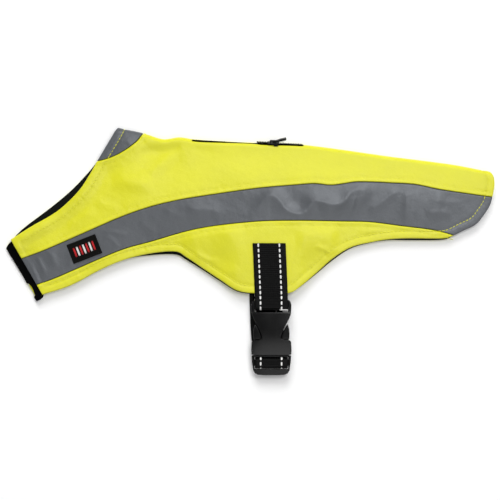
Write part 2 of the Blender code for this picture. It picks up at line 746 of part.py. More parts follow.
def make_far_strap():
    """From under the far flank along the surface, up over the ladder bar and back."""
    flat = STRAP_HALF
    tail = STRAP_THICKNESS + GAP + STRAP_HALF
    radius = LADDER_BAR_HALF[1] + GAP + STRAP_HALF
    reach = LADDER_BAR_HALF[0] - LADDER_BAR_HALF[1]
    outer, inner = LADDER_BAR_Y - reach, LADDER_BAR_Y + reach
    route = [(y, flat) for y in FAR_LEVEL_Y]
    route += [*FAR_UP, (outer - radius, FAR_UP_LAST)]
    route += half_turn(outer, BUCKLE_MID, radius, 180, 90, 4)
    route += half_turn(inner, BUCKLE_MID, radius, 90, 0, 4)
    route += [(inner + radius, FAR_DOWN_FIRST), *FAR_DOWN]
    route += [(y, tail) for y in FAR_TAIL_Y]
    ribbon("far_strap", FAR_STRAP_LINE, route)


# ---------------------------------------------------------------- hard pieces

def prism(outline, low, high, place=None):
    """An outline in the first two axes, raised along the third between low and high."""
    count = len(outline)
    points = [Vector((a, b, level)) for level in (low, high) for a, b in outline]
    points = [(place @ point if place else point) * MM for point in points]
    faces = [tuple(range(count)), tuple(reversed(range(count, 2 * count)))]
    for i in range(count):
        k = (i + 1) % count
        faces.append((i, i + count, k + count, k))
    return add_object("form", points, faces, "plastic")


def both_sides(half):
    """A half outline of y, distance rows as a whole outline of x, y points."""
    right = [(BUCKLE_X + out, y) for y, out in half]
    left = [(BUCKLE_X - out, y) for y, out in reversed(half)]
    return right + left


def one_side(outline, side):
    return [(BUCKLE_X + side * out, y) for y, out in outline]


def block(x_half, y_low, y_high, z_low, z_high):
    corners = ((-1, y_low), (1, y_low), (1, y_high), (-1, y_high))
    return prism([(BUCKLE_X + side * x_half, y) for side, y in corners], z_low, z_high)


def bar(y, half_sizes, x_half):
    """A bar across the buckle with rounded long edges."""
    wide, high = half_sizes
    outline = half_turn(y + wide - high, BUCKLE_MID, high, -90, 90)
    outline += half_turn(y - wide + high, BUCKLE_MID, high, 90, 270)
    place = Matrix(((0, 0, 1, BUCKLE_X), (1, 0, 0, 0), (0, 1, 0, 0), (0, 0, 0, 1)))
    return prism(outline, -x_half, x_half, place)


def unite(name, forms, material):
    """One solid from overlapping forms."""
    body = forms[0]
    for form in forms[1:]:
        cut = body.modifiers.new("join", "BOOLEAN")
        cut.operation = "UNION"
        cut.solver = "EXACT"
        cut.object = form
    graph = bpy.context.evaluated_depsgraph_get()
    mesh = bpy.data.meshes.new_from_object(body.evaluated_get(graph))
    mesh.name = name
    mesh.materials.clear()
    mesh.materials.append(get_material(material))
    for form in forms:
        bpy.data.objects.remove(form)
    result = bpy.data.objects.new(name, mesh)
    bpy.context.collection.objects.link(result)
    return result


def make_socket():
    """The buckle's upper half: waisted body, hollow mouth, and the bar for its strap."""
    forms = [
        prism(both_sides(SOCKET_WAIST), BUCKLE_LOW, BUCKLE_HIGH),
        prism(both_sides(SOCKET_BASE), BUCKLE_HIGH - PLATE, BUCKLE_HIGH),
        prism(both_sides(SOCKET_BASE), BUCKLE_LOW, BUCKLE_LOW + PLATE),
        bar(BAR_Y, BAR_HALF, SLOT_HALF + JOIN_IN),
    ]
    for side in (-1, 1):
        rim = [(y, out) for y, out in SOCKET_BASE if out > SOCKET_WALL_IN]
        inner = [(rim[-1][0], SOCKET_WALL_IN), (rim[0][0], SOCKET_WALL_IN)]
        forms.append(prism(one_side(rim + inner, side), BUCKLE_LOW + PLATE / 2,
                           BUCKLE_HIGH - PLATE / 2))
        forms.append(prism(one_side(SOCKET_ARM, side), ARM_LOW, ARM_HIGH))
    unite("buckle_socket", forms, "plastic")


def make_prongs():
    """The buckle's lower half: two prongs in the socket and the ladder lock."""
    window_high, window_low = LADDER_WINDOW
    end = [(window_low, SLOT_HALF + JOIN_IN)] + [row for row in LADDER if row[0] < LADDER_END_Y]
    forms = [
        block(PRONG_BASE_HALF, *PRONG_BASE_Y, *PRONG_INSIDE),
        block(PRONG_BASE_HALF, window_high, LADDER_TOP_Y, *PRONG_INSIDE),
        bar(LADDER_BAR_Y, LADDER_BAR_HALF, SLOT_HALF + JOIN_IN),
        prism(both_sides(end), *LADDER_HEIGHT),
    ]
    for side in (-1, 1):
        forms.append(prism(one_side(PRONG_TAB, side), ARM_LOW, ARM_HIGH))
        forms.append(prism(one_side(PRONG_NECK, side), *PRONG_INSIDE))
        rail = [row for row in LADDER if row[0] > LADDER_END_Y - JOIN_IN]
        inner = [(rail[-1][0], SLOT_HALF), (rail[0][0], SLOT_HALF)]
        forms.append(prism(one_side(rail + inner, side), *LADDER_HEIGHT))
    unite("buckle_prongs", forms, "plastic")


# ---------------------------------------------------------------- zip slider and pull

def slider_frame():
    """Frame at the slider: first axis along the zip, second out of the cloth, third across."""
    along = read_table(ZIP_LINE, SLIDER_X)
    origin = garment_point(SLIDER_X, along, 0.0)
    ahead = garment_point(SLIDER_X + 1.0, along, 0.0)
    _, _, out_in, out_up = fold_section(along, FOLD_RADIUS, 0.0)
    zip_way = (ahead - origin).normalized()
    out = Vector((0.0, -out_in, out_up))
    out = (out - zip_way * out.dot(zip_way)).normalized()
    across = zip_way.cross(out)
    frame = Matrix((zip_way, out, across)).transposed().to_4x4()
    frame.translation = origin
    return frame


def across_prism(frame, outline, half_low, half_high):
    """A side outline (along, out) raised across the zip."""
    return prism(outline, half_low, half_high, frame)


def rectangle(low, high):
    return [(low[0], low[1]), (high[0], low[1]), (high[0], high[1]), (low[0], high[1])]


def make_slider(frame):
    """Top plate with side flanges, and the crown that holds the pull."""
    flat = frame @ Matrix(((1, 0, 0, 0), (0, 0, 1, 0), (0, 1, 0, 0), (0, 0, 0, 1)))
    outline = [(a, half) for a, half in SLIDER_OUTLINE]
    outline += [(a, -half) for a, half in reversed(SLIDER_OUTLINE)]
    forms = [prism(outline, *SLIDER_PLATE, flat)]
    for side in (-1, 1):
        outer = [(a, side * (half - STEP_IN)) for a, half in SLIDER_OUTLINE if half > FLANGE_FROM]
        inner = [(outer[-1][0], side * SLIDER_FLANGE[0]), (outer[0][0], side * SLIDER_FLANGE[0])]
        forms.append(prism(outer + inner, SLIDER_FLANGE[1], SLIDER_PLATE[1] - SINK, flat))
        post_low, post_high = sorted((side * CROWN_POST[0], side * CROWN_POST[1]))
        post = rectangle((post_low, SLIDER_PLATE[0] + SINK), (post_high, CROWN_TOP[0] + SINK))
        forms.append(across_prism(frame, post, STEP_IN - CROWN_HALF, CROWN_HALF - STEP_IN))
    top = rectangle((-CROWN_LENGTH_HALF, CROWN_TOP[0]), (CROWN_LENGTH_HALF, CROWN_TOP[1]))
    forms.append(across_prism(frame, top, -CROWN_HALF, CROWN_HALF))
    unite("zip_slider", forms, "slider")


def make_pull(frame):
    """The pull tab: an eye round the crown and a thicker grip.  Its origin is its hinge."""
    pivot = frame @ Vector((0.0, PIVOT_HEIGHT, 0.0))
    turn = Matrix.Rotation(math.radians(PULL_REST), 4, "Z")
    place = frame @ Matrix.Translation((0.0, PIVOT_HEIGHT, 0.0)) @ turn
    thin, thick = PULL_THICK
    axle = half_turn(0.0, 0.0, PULL_BAR_RADIUS, 0, 315, 7)
    into = PULL_EYE + PULL_OVERLAP
    arm = [(-thin, -PULL_TAPER * thin), (into, -thin), (into, thin), (-thin, PULL_TAPER * thin)]
    grip = [(PULL_EYE, -thin), (PULL_GRIP_START, -thick), (PULL_LENGTH, -thick),
            (PULL_LENGTH, thick), (PULL_GRIP_START, thick), (PULL_EYE, thin)]
    forms = [across_prism(place, grip, -PULL_ARM[1], PULL_ARM[1]),
             across_prism(place, axle, -PULL_ARM[1] + SINK, PULL_ARM[1] - SINK)]
    for side in (-1, 1):
        low, high = sorted((side * PULL_ARM[0], side * PULL_ARM[1]))
        forms.append(across_prism(place, arm, low, high))
    pull = unite("zip_pull", forms, "slider")
    pull.data.transform(Matrix.Translation(-pivot * MM))
    pull.location = pivot * MM


# ---------------------------------------------------------------- the whole part

def shift_to_origin():
    """Stand the middle of the part's box on the origin."""
    for item in bpy.context.scene.objects:
        item.location += Vector((*CENTRE_SHIFT, 0.0)) * MM


def main():
    for item in list(bpy.data.objects):
        bpy.data.objects.remove(item)
    make_back_panel()
    make_collar_patch()
    make_sides()
    make_lining()
    make_closure()
    make_label()
    make_zip_strip()
    make_near_strap()
    make_far_strap()
    make_socket()
    make_prongs()
    frame = slider_frame()
    make_slider(frame)
    make_pull(frame)
    shift_to_origin()


main()
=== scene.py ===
"""Looks of the folded dog safety vest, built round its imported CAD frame.

The cloth is laid out flat, in pattern coordinates (x, along), where along is the distance
round the fold from the spine's crest, positive on the upper ("near") half and negative on
the lower ("far") half.  A surface function carries the pattern into space.  Tables and
sizes are in millimetres; the meshes are made in metres.
"""

import math

import bmesh
import bpy
import numpy as np
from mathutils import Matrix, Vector
from mathutils.geometry import delaunay_2d_cdt


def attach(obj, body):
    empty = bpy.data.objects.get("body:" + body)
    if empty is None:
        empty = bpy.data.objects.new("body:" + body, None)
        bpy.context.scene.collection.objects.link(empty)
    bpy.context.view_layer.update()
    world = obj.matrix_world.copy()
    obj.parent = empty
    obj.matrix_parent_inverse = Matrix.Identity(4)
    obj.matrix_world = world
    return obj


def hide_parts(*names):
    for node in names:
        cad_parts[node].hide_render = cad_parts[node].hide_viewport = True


MM = 0.001

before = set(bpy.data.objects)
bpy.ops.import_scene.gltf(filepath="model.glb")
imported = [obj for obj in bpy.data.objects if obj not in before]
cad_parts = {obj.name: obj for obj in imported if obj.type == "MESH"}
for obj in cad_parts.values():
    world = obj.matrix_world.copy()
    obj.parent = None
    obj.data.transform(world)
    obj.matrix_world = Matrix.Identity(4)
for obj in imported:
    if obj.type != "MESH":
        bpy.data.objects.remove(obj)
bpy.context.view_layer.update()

# ---------------------------------------------------------------- sizes and outlines

# Most of these are the CAD's own.  The near half's front corner, part of the far half's
# lower edge, one soft fold's height and the closure's outlines differ from it.
GAP = 0.3
# Layers: depths of their two faces under the surface that carries them.  That is the
# closure's turned end for tab and loop, and the garment's outer face for the others.
SHELL = (0.0, 1.2)
LINING = (1.5, 2.5)
LABEL_LAYER = (-1.0, -0.25)
ZIP_LAYER = (-0.15, 1.3)
TAB_LAYER = (0.0, 1.0)
LOOP_LAYER = (-1.3, -0.25)
FLAT_TOP = 5.4
FOLD_RADIUS = 3.4
QUARTER = FOLD_RADIUS * math.pi / 2
SETTLE_RUN = 26.0            # how far in from the fold the near half sinks to FLAT_TOP
LIFT_RUN = 10.0              # how far in from the fold the soft folds reach full height
STRAP_WIDTH = 25.0
STRAP_THICKNESS = 1.4
STRAP_HALF = STRAP_THICKNESS / 2
STRAP_END_Y = 6.2
STRAP_LIFT = STRAP_THICKNESS + GAP
LIFT_X = (-7.0, 32.0)
LIFT_TOP_Y = 13.0
LIFT_RAMP = 26.0
BUCKLE_X = 16.2
SLIDER_X = 17.5
BUCKLE_MID = 7.1
PULL_PIVOT = (17.426, 83.22, 5.506)
PULL_AXIS = (-0.009655, -0.412903, 0.910724)
CENTRE_SHIFT = (-0.11, -0.05)

SPINE = (
    (-101.1, 94.0), (-81.3, 89.9), (-66.1, 85.4), (-53.5, 86.8), (-44.1, 85.4),
    (-26.1, 84.0), (9.1, 82.3), (41.8, 80.9), (105.9, 72.2), (154.4, 65.9), (183.2, 60.3),
)
COLLAR_FRONT = ((-103.5, 90.0), (-108.2, 82.1), (-116.4, 68.5))
COLLAR_SEAM = (
    (-84.3, 85.5), (-89.6, 80.6), (-96.0, 76.3), (-102.9, 72.6), (-111.0, 69.7),
    (-116.4, 68.5),
)
NECK_NEAR = (
    (-116.4, 68.5), (-122.1, 58.2), (-129.9, 46.5), (-141.5, 34.8), (-151.2, 27.6),
    (-165.8, 19.3), (-182.0, 9.0),
)
NECK_FAR = (
    (-116.4, 68.5), (-123.7, 59.6), (-135.9, 46.8), (-151.2, 33.9), (-170.6, 19.3),
    (-178.4, 12.2),
)
CHEST_END = ((-182.0, 9.0), (-173.8, -5.7), (-162.4, -25.4), (-157.9, -33.2))
BAND_TOP = (
    (-173.8, -5.7), (-155.1, 1.3), (-120.2, 16.5), (-98.8, 25.7), (-78.5, 32.9),
    (-55.7, 38.6), (-26.3, 43.4), (8.7, 48.2), (36.0, 50.5), (49.1, 51.4), (61.1, 50.3),
    (71.1, 51.5), (80.6, 52.9), (92.0, 52.8), (105.9, 52.1),
    (125.2, 50.9), (144.6, 47.0), (173.7, 42.6), (184.4, 41.2),
)
BAND_LOW = (
    (-162.4, -25.4), (-149.3, -20.8), (-131.9, -13.3), (-98.8, 0.7), (-76.0, 7.3),
    (-39.1, 17.4), (2.3, 22.5), (34.5, 23.4), (68.4, 22.9), (91.4, 22.3), (115.5, 19.3),
    (138.9, 16.3), (155.3, 12.1),
)
TAIL_TOP = ((185.4, 56.2), (185.8, 49.4), (184.4, 41.2))
TAIL_LOW = (
    (184.4, 41.2), (182.5, 34.8), (177.6, 27.1), (171.8, 20.3), (162.1, 15.5),
    (155.3, 12.1),
)
LOWER_EDGE = (
    (-157.9, -33.2, 0.0), (-136.6, -26.2, 0.0), (-112.5, -13.6, 0.0), (-93.0, -5.8, 0.0),
    (-73.7, -1.5, 1.4), (-56.7, -0.3, 2.3), (-48.3, -4.7, 2.0), (-34.6, -13.9, 1.3),
    (-23.5, -21.2, 1.2), (-8.5, -30.3, 0.8), (11.4, -32.3, 0.2), (29.5, -31.9, 0.0),
    (38.0, -27.1, 0.2), (50.6, -16.5, 0.8), (63.2, -5.4, 1.4), (76.8, 2.9, 0.8),
    (92.3, 6.8, 0.3), (105.9, 9.0, 0.6), (120.4, 9.7, 1.3), (146.6, 9.7, 1.0),
    (155.3, 12.1, 0.0),
)
# Soft folds of the near half: x, y, direction in degrees, half length, half width, height.
SOFT_FOLDS = (
    (-66.0, 78.5, 12.0, 15.0, 5.0, -1.1),
    (-64.0, 68.5, 20.0, 16.0, 6.0, 0.2),
    (-92.0, 51.0, 8.0, 16.0, 7.0, 0.8),
    (15.0, 37.0, 80.0, 12.0, 6.0, 0.5),
    (61.0, 35.0, 70.0, 11.0, 8.0, 0.8),
    (83.0, 39.0, 62.0, 11.0, 5.5, 0.9),
    (119.5, 34.0, 88.0, 14.0, 6.0, 0.7),
    (142.0, 38.0, 70.0, 10.0, 5.0, 0.6),
    (-96.0, 10.0, 60.0, 12.0, 8.0, 0.5),
)
ZIP_LINE = ((-46.0, 2.7), (-20.0, 1.9), (8.0, 1.5), (43.0, 1.4))
# How far the zip shows between the cloth's lips: x, half width.  It is closed left of the
# slider, where the lips meet over it, and open right of it.
ZIP_LIPS = (
    (-44.2, 0.5), (-41.0, 0.95), (-30.0, 0.9), (-22.0, 0.75), (-12.0, 0.6), (4.0, 0.6),
    (8.6, 1.4), (38.0, 1.4), (40.6, 0.6),
)
ZIP_GAP = 0.08               # between the lips and the tape
CLOSURE_START = (-185.9, 2.4)
CLOSURE_END = (-162.9, -35.5)
CLOSURE_RADIUS = 1.3
CLOSURE_SET_IN = 1.2
CLOSURE_STEP = (26.0, 38.0)
TAB_UNDER = 8.0
TAB_OVER = 11.0
TAB_OUTLINE = (
    (-1.5, -7.0), (-1.4, -3.5), (-0.6, 0.0), (-1.4, 3.0), (-1.6, 6.0), (-1.6, TAB_OVER),
    (44.0, TAB_OVER), (44.0, 6.0), (43.4, 2.4), (42.8, 0.0), (42.6, -3.5), (42.6, -7.0),
)
LOOP_OUTLINE = (
    (0.4, -0.2), (-1.6, 3.0), (-2.4, 6.0), (-2.4, 9.4), (30.0, 9.4), (40.0, 8.6),
    (45.2, 7.2), (46.8, 5.4), (47.2, 2.6), (46.6, 0.2), (43.4, -0.2), (42.2, 1.6),
    (36.0, 2.4), (32.4, 1.6), (30.4, -0.2),
)
LABEL_CENTRE = (-125.7, 1.8)
LABEL_SIZE = (23.3, 15.3)
LABEL_TURN = 21.0
LABEL_CORNERS = np.array([(-1, -1), (1, -1), (1, 1), (-1, 1)])
BAR_HALF = (2.3, 1.2)
BAR_Y = -39.7
LADDER_BAR_Y = -84.5
LADDER_BAR_HALF = (2.3, 1.0)
NEAR_STRAP_LINE = ((STRAP_END_Y, 14.5), (-31.7, 16.1), (-43.8, 16.3), (-60.0, 16.3))
FAR_STRAP_LINE = ((STRAP_END_Y, 11.5), (-32.0, 12.0), (-67.0, 13.6), (-78.0, 16.1),
                  (-87.0, 16.2))

# ---------------------------------------------------------------- relief seen in the photo

# Soft creases of the near half: points (x, y), height, width on the left and on the right
# of the line as it runs.  Between its line and its width a crease falls off smoothly.
CREASES = (
    # the fullness along the band's upper seam
    (((-150.0, 5.0), (-110.0, 21.0), (-60.0, 37.0), (0.0, 45.0), (60.0, 47.0), (108.0, 46.0)),
     1.6, 34.0, 25.0),
    # below the dip in the spine
    (((-86.0, 77.0), (-74.0, 73.0), (-64.0, 73.0), (-49.0, 77.5)), -0.9, 8.0, 26.0),
    # shoulder, between collar and band
    (((-118.0, 67.0), (-103.0, 72.6), (-90.0, 80.3), (-82.0, 88.0)), 1.1, 19.0, 12.0),
    (((-107.0, 57.0), (-89.0, 53.0), (-70.0, 47.0)), 0.8, 22.0, 9.0),
    (((-77.0, 57.0), (-63.0, 70.0), (-54.0, 79.0)), 0.5, 6.0, 8.0),
    (((-118.0, 40.0), (-108.0, 34.0), (-99.0, 35.0)), 0.3, 6.0, 6.0),
    (((-140.0, 19.0), (-128.0, 25.0), (-118.0, 33.0)), 0.3, 4.0, 6.0),
    (((-46.0, 80.5), (-36.0, 76.5), (-26.0, 77.5)), -0.4, 5.0, 5.0),
    # chest end
    (((-180.0, 8.0), (-167.0, 14.5), (-149.0, 25.0)), 0.8, 4.0, 9.0),
    # flank, left of the strap
    (((-56.0, 4.0), (-32.0, 11.0), (-2.0, 12.5)), 1.6, 11.0, 26.0),
    (((-44.0, 0.0), (-34.0, -6.0), (-22.0, -8.0)), 0.5, 4.0, 6.0),
    (((-30.0, -9.0), (-18.0, -14.0), (-6.0, -16.0)), 0.3, 6.0, 6.0),
    # flank, right of the strap
    (((33.0, 12.0), (48.0, 11.0), (70.0, 11.0)), 1.9, 12.0, 25.0),
    (((49.0, 5.0), (55.0, 2.0), (60.0, 3.0)), 0.5, 3.0, 3.0),
    (((56.0, -1.5), (62.0, 0.0), (68.0, 3.5)), 0.6, 3.0, 3.0),
    (((44.0, -14.0), (52.0, -8.0), (58.0, -3.0)), 0.4, 4.0, 4.0),
    (((78.0, 16.0), (96.0, 14.5), (118.0, 13.5)), 0.3, 4.0, 4.0),
)
# Sharper creases of the near band, as above; these fall off steepest at their line.
BAND_CREASES = (
    # chest end
    (((-168.5, -4.0), (-160.5, -21.0)), 0.5, 3.5, 3.0),
    (((-162.5, -2.0), (-154.5, -19.0)), 0.7, 4.0, 4.0),
    (((-153.0, 2.0), (-146.0, -14.0)), 0.5, 6.0, 6.0),
    (((-140.0, 2.0), (-136.0, -6.0), (-138.0, -14.0)), 0.4, 5.0, 5.0),
    (((-112.0, 13.0), (-104.0, 8.0), (-98.0, 1.0)), 0.4, 4.0, 5.0),
    (((-112.0, 15.0), (-101.0, 14.0), (-91.0, 11.0)), 0.35, 4.0, 4.0),
    # left of the strap
    (((-84.0, 24.0), (-76.0, 17.0), (-70.0, 14.0)), 0.35, 6.0, 6.0),
    (((-66.0, 33.0), (-55.0, 27.0), (-48.0, 28.0)), 0.45, 6.0, 7.0),
    (((-50.0, 36.0), (-42.0, 31.5), (-30.0, 31.0), (-18.0, 27.0)), 0.8, 10.0, 9.0),
    # the wave over the strap
    (((-16.0, 26.5), (2.5, 30.0), (10.1, 39.0), (16.5, 42.8), (22.8, 37.8), (27.9, 31.4),
      (38.0, 28.5), (44.3, 32.7), (46.5, 36.5), (50.7, 38.3), (63.3, 35.2), (70.9, 37.8),
      (76.0, 44.4), (82.3, 47.4), (86.1, 45.6), (87.4, 38.3), (88.7, 30.4)), 2.2, 12.0, 18.0),
    (((88.0, 28.5), (98.7, 36.5), (109.5, 44.5), (116.0, 47.0)), 1.0, 7.0, 9.0),
    (((119.0, 47.0), (119.0, 36.0), (118.0, 24.0)), 0.35, 4.0, 5.0),
    (((127.0, 47.0), (127.0, 36.0), (126.0, 24.0)), 0.3, 4.0, 5.0),
    (((132.0, 28.0), (144.0, 30.0), (154.0, 27.5)), 0.5, 6.0, 6.0),
    (((138.0, 40.0), (150.0, 36.5), (160.0, 37.0)), 0.3, 7.0, 6.0),
)
# Creases of the far half, pressed into the side that it lies on; widths as above.
FAR_CREASES = (
    (((-82.0, 74.0), (-66.0, 76.0), (-50.0, 82.0)), 0.5, 6.0, 5.0),
    (((-108.0, 45.0), (-92.0, 49.0), (-70.0, 47.0)), 0.45, 7.0, 5.0),
    (((-60.0, 64.0), (-38.0, 60.0), (-12.0, 63.0)), 0.4, 6.0, 6.0),
    (((8.0, 70.0), (40.0, 66.0), (74.0, 64.0)), 0.35, 6.0, 8.0),
    (((-158.0, -4.0), (-151.0, -20.0)), 0.45, 3.0, 3.0),
    (((-140.0, 12.0), (-120.0, 24.0), (-100.0, 30.0)), 0.4, 5.0, 5.0),
    (((-98.0, 22.0), (-90.0, 12.0), (-88.0, 4.0)), 0.4, 4.0, 5.0),
    (((-30.0, 38.0), (-18.0, 28.0), (-2.0, 27.0), (12.0, 40.0)), 0.5, 5.0, 5.0),
    (((40.0, 30.0), (52.0, 40.0), (70.0, 38.0), (84.0, 47.0)), 0.5, 5.0, 6.0),
    (((90.0, 28.0), (104.0, 36.0), (116.0, 45.0)), 0.45, 4.0, 5.0),
    (((128.0, 45.0), (128.0, 34.0), (126.0, 24.0)), 0.4, 3.0, 4.0),
    (((-44.0, 6.0), (-30.0, -2.0), (-16.0, -4.0)), 0.4, 5.0, 5.0),
    (((44.0, 14.0), (54.0, 4.0), (66.0, 2.0)), 0.4, 5.0, 5.0),
)
# Long soft waves: length along x and y, phase, height.
WAVES = (
    (61.0, 190.0, 0.4, 0.16), (-97.0, 74.0, 2.1, 0.14), (43.0, 88.0, 4.4, 0.09),
    (38.0, -57.0, 1.3, 0.07), (190.0, 45.0, 5.2, 0.10),
)
PUFF = 1.4                   # how far the near half stands up inside its free edges
PUFF_RUN = (8.0, 40.0)
SPINE_RISE = (0.6, 18.0)     # how far the near half still rises past the crest, and its run
HEM_RISE = 0.9               # how far the neck's edge stands over the cloth inside its hem
HEM_FALL = (5.0, 11.0)
STRAP_FOOT = (0.0, 30.0)     # under the near strap the cloth lies flat
STRAP_FOOT_TOP = 9.0
STRAP_RISE = 1.8             # how much higher the cloth lies at the strap's upper end
STRAP_RISE_Y = (-32.0, 10.0)
FOOT_RAMP = (14.0, 26.0)     # run of the cloth's rise beside the strap and above its end

HEM = 5.7                    # stitch line in from a free edge
SEAM_STITCH = 3.4            # stitch line out from a band seam
RIM = 0.7                    # rounding of a cloth edge
RIM_ROWS = (0.12, 0.32, 0.62, 1.05)
CREASE_EDGE = (0.2, 8.0)     # share of a crease left at an edge, and the run to all of it
RISE_EDGE = 20.0             # run of the rise past the crest, in from a free edge
CLOSE_RAMP = (6.0, 6.0)      # run of the creases' fall beside the strap and above its end
FAR_SINK = 0.34              # how far the far half's outer face is pressed in, and at most
FAR_MOST = 0.7

# Relief along a stitched edge: height, width.
EDGE_ROLL = (0.22, 1.6)
ROLL_FALL = (1.6, 1.4)       # the roll ends this far outside the stitches, over this run
STITCH_GROOVE = (-0.27, 0.8)
STITCH_PUCKERS = (0.13, 2.6)
EDGE_PUCKERS = (0.05, 2.0)
GREY_PUCKERS = (0.1, 3.0)    # of the grey cloth along a seam
SEAM_SHARE = 0.9             # a yellow seam's relief as a share of a hem's
NECK_RUN = (2.0, 8.0, 14.0)  # start over the band, run there, and run past the collar's end

FINE = 1.45                  # grid step of what shows from above
COARSE = 2.3                 # grid step of what lies below
SIDE_STEP = {1: FINE, -1: COARSE}
LOOP_STEP = 1.5
GRID_ROW = 0.87              # distance of the grid's rows as a share of its step
FOLD_ROW = 0.95              # distance of the rows round the fold
GRID_CLEAR = 0.45            # share of a step that stays free inside the rim's rows
LEAST_WALL = 0.15
UNDER_RIM = 0.3              # rounding of the inner face as a share of the outer one's
MERGE = 0.2                  # points of a loop closer than this are one
LEAST_MITRE = 0.4
CURVE_PARTS = 10
MOST_PAIRS = 4_000_000       # points times line parts compared at once


# ---------------------------------------------------------------- curves

def smooth_step(value):
    value = np.clip(value, 0.0, 1.0)
    return value * value * (3.0 - 2.0 * value)


def between(value, start, end):
    """Nought up to start, one from end on, smooth between."""
    return smooth_step((value - start) / (end - start))


def hump(distance, height, width):
    return height * np.exp(-(distance / width) ** 2)


def unit(vectors):
    return vectors / np.linalg.norm(vectors, axis=1)[:, None]


def arc_lengths(line):
    """Distance along a line at each of its points."""
    return np.concatenate([[0.0], np.cumsum(np.linalg.norm(np.diff(line, axis=0), axis=1))])


def read_table(table, x):
    """The second column of a table at x: a smooth curve, straight past its ends."""
    rows = np.array(sorted(row[:2] for row in table), float)
    xs, ys = rows[:, 0], rows[:, 1]
    after = np.minimum(np.arange(len(xs)) + 1, len(xs) - 1)
    before = np.maximum(np.arange(len(xs)) - 1, 0)
    slopes = (ys[after] - ys[before]) / (xs[after] - xs[before])
    x = np.asarray(x, float)
    i = np.clip(np.searchsorted(xs, x) - 1, 0, len(xs) - 2)
    span = xs[i + 1] - xs[i]
    t = np.clip((x - xs[i]) / span, 0.0, 1.0)
    value = (ys[i] * (1 + 2 * t) * (1 - t) ** 2 + ys[i + 1] * t * t * (3 - 2 * t)
             + (slopes[i] * (1 - t) - slopes[i + 1] * t) * t * (1 - t) * span)
    value += slopes[0] * np.minimum(x - xs[0], 0.0) + slopes[-1] * np.maximum(x - xs[-1], 0.0)
    return value


def even_steps(line, step):
    """The line read again at equal steps of about the given length, ends kept."""
    line = np.asarray(line, float)
    lengths = arc_lengths(line)
    count = max(1, round(lengths[-1] / step))
    at = np.linspace(0.0, lengths[-1], count + 1)
    return np.stack([np.interp(at, lengths, line[:, k]) for k in range(line.shape[1])], axis=1)


def smooth_curve(points, step):
    """A smooth curve through the points, read again at even steps."""
    points = np.asarray(points, float)
    padded = np.vstack([2 * points[0] - points[1], points, 2 * points[-1] - points[-2]])
    t = (np.arange(CURVE_PARTS) / CURVE_PARTS)[:, None]
    dense = []
    for p0, p1, p2, p3 in zip(padded, padded[1:], padded[2:], padded[3:]):
        dense.append(0.5 * (2 * p1 + (p2 - p0) * t + (2 * p0 - 5 * p1 + 4 * p2 - p3) * t * t
                            + (3 * p1 - p0 - 3 * p2 + p3) * t ** 3))
    return even_steps(np.vstack(dense + [points[-1:]]), step)


def join(*curves):
    """One closed loop, counterclockwise, from curves that meet end to end."""
    points = np.vstack(curves)
    keep = [0]
    for i in range(1, len(points)):
        if np.linalg.norm(points[i] - points[keep[-1]]) > MERGE:
            keep.append(i)
    loop = points[keep]
    if np.linalg.norm(loop[0] - loop[-1]) <= MERGE:
        loop = loop[:-1]
    after = np.roll(loop, -1, axis=0)
    area = (loop[:, 0] * after[:, 1] - after[:, 0] * loop[:, 1]).sum()
    return loop if area > 0 else loop[::-1]


def inset(loop, amount):
    """The loop moved inward by a distance, or by one distance for each point."""
    a = unit(loop - np.roll(loop, 1, axis=0))
    b = unit(np.roll(loop, -1, axis=0) - loop)
    inward = unit(np.stack([-a[:, 1] - b[:, 1], a[:, 0] + b[:, 0]], axis=1))
    reach = np.maximum((inward * np.stack([-a[:, 1], a[:, 0]], axis=1)).sum(1), LEAST_MITRE)
    return loop + inward * (amount / reach)[:, None]


def trim(loop, keep):
    """The part of the loop where keep, one value for each point, is positive."""
    kept = []
    for i in range(len(loop)):
        k = (i + 1) % len(loop)
        if keep[i] >= 0:
            kept.append(loop[i])
        if keep[i] * keep[k] < 0:
            kept.append(loop[i] + (loop[k] - loop[i]) * keep[i] / (keep[i] - keep[k]))
    return join(np.array(kept))


def closed(loop):
    return np.vstack([loop, loop[:1]])


def stepped(corners, step):
    """A closed loop through corners, read again at even steps."""
    return join(even_steps(closed(np.array(corners)), step))


def nearest(points, line):
    """Distance of each point to a line, how far along the line, and on which side of it."""
    a, b = line[:-1], line[1:]
    way = b - a
    size = (way * way).sum(1)
    starts = np.concatenate([[0.0], np.cumsum(np.sqrt(size))])[:-1]
    distance, along, side = [], [], []
    for chunk in np.array_split(points, max(1, len(points) * len(a) // MOST_PAIRS)):
        off = chunk[:, None] - a[None]
        t = np.clip((off * way).sum(2) / size, 0.0, 1.0)
        gap = off - t[..., None] * way
        squared = (gap * gap).sum(2)
        best = squared.argmin(1)
        rows = np.arange(len(chunk))
        distance.append(np.sqrt(squared[rows, best]))
        along.append(starts[best] + t[rows, best] * np.sqrt(size[best]))
        gone, turn = gap[rows, best], way[best]
        side.append(np.sign(turn[:, 0] * gone[:, 1] - turn[:, 1] * gone[:, 0]))
    return np.concatenate(distance), np.concatenate(along), np.concatenate(side)


def is_inside(points, loops):
    inside = np.zeros(len(points), bool)
    for loop in loops:
        a, b = loop, np.roll(loop, -1, axis=0)
        for (ax, ay), (bx, by) in zip(a, b):
            if ay != by:
                crosses = (ay > points[:, 1]) != (by > points[:, 1])
                edge_x = ax + (points[:, 1] - ay) / (by - ay) * (bx - ax)
                inside ^= crosses & (points[:, 0] < edge_x)
    return inside


# ---------------------------------------------------------------- the folded garment

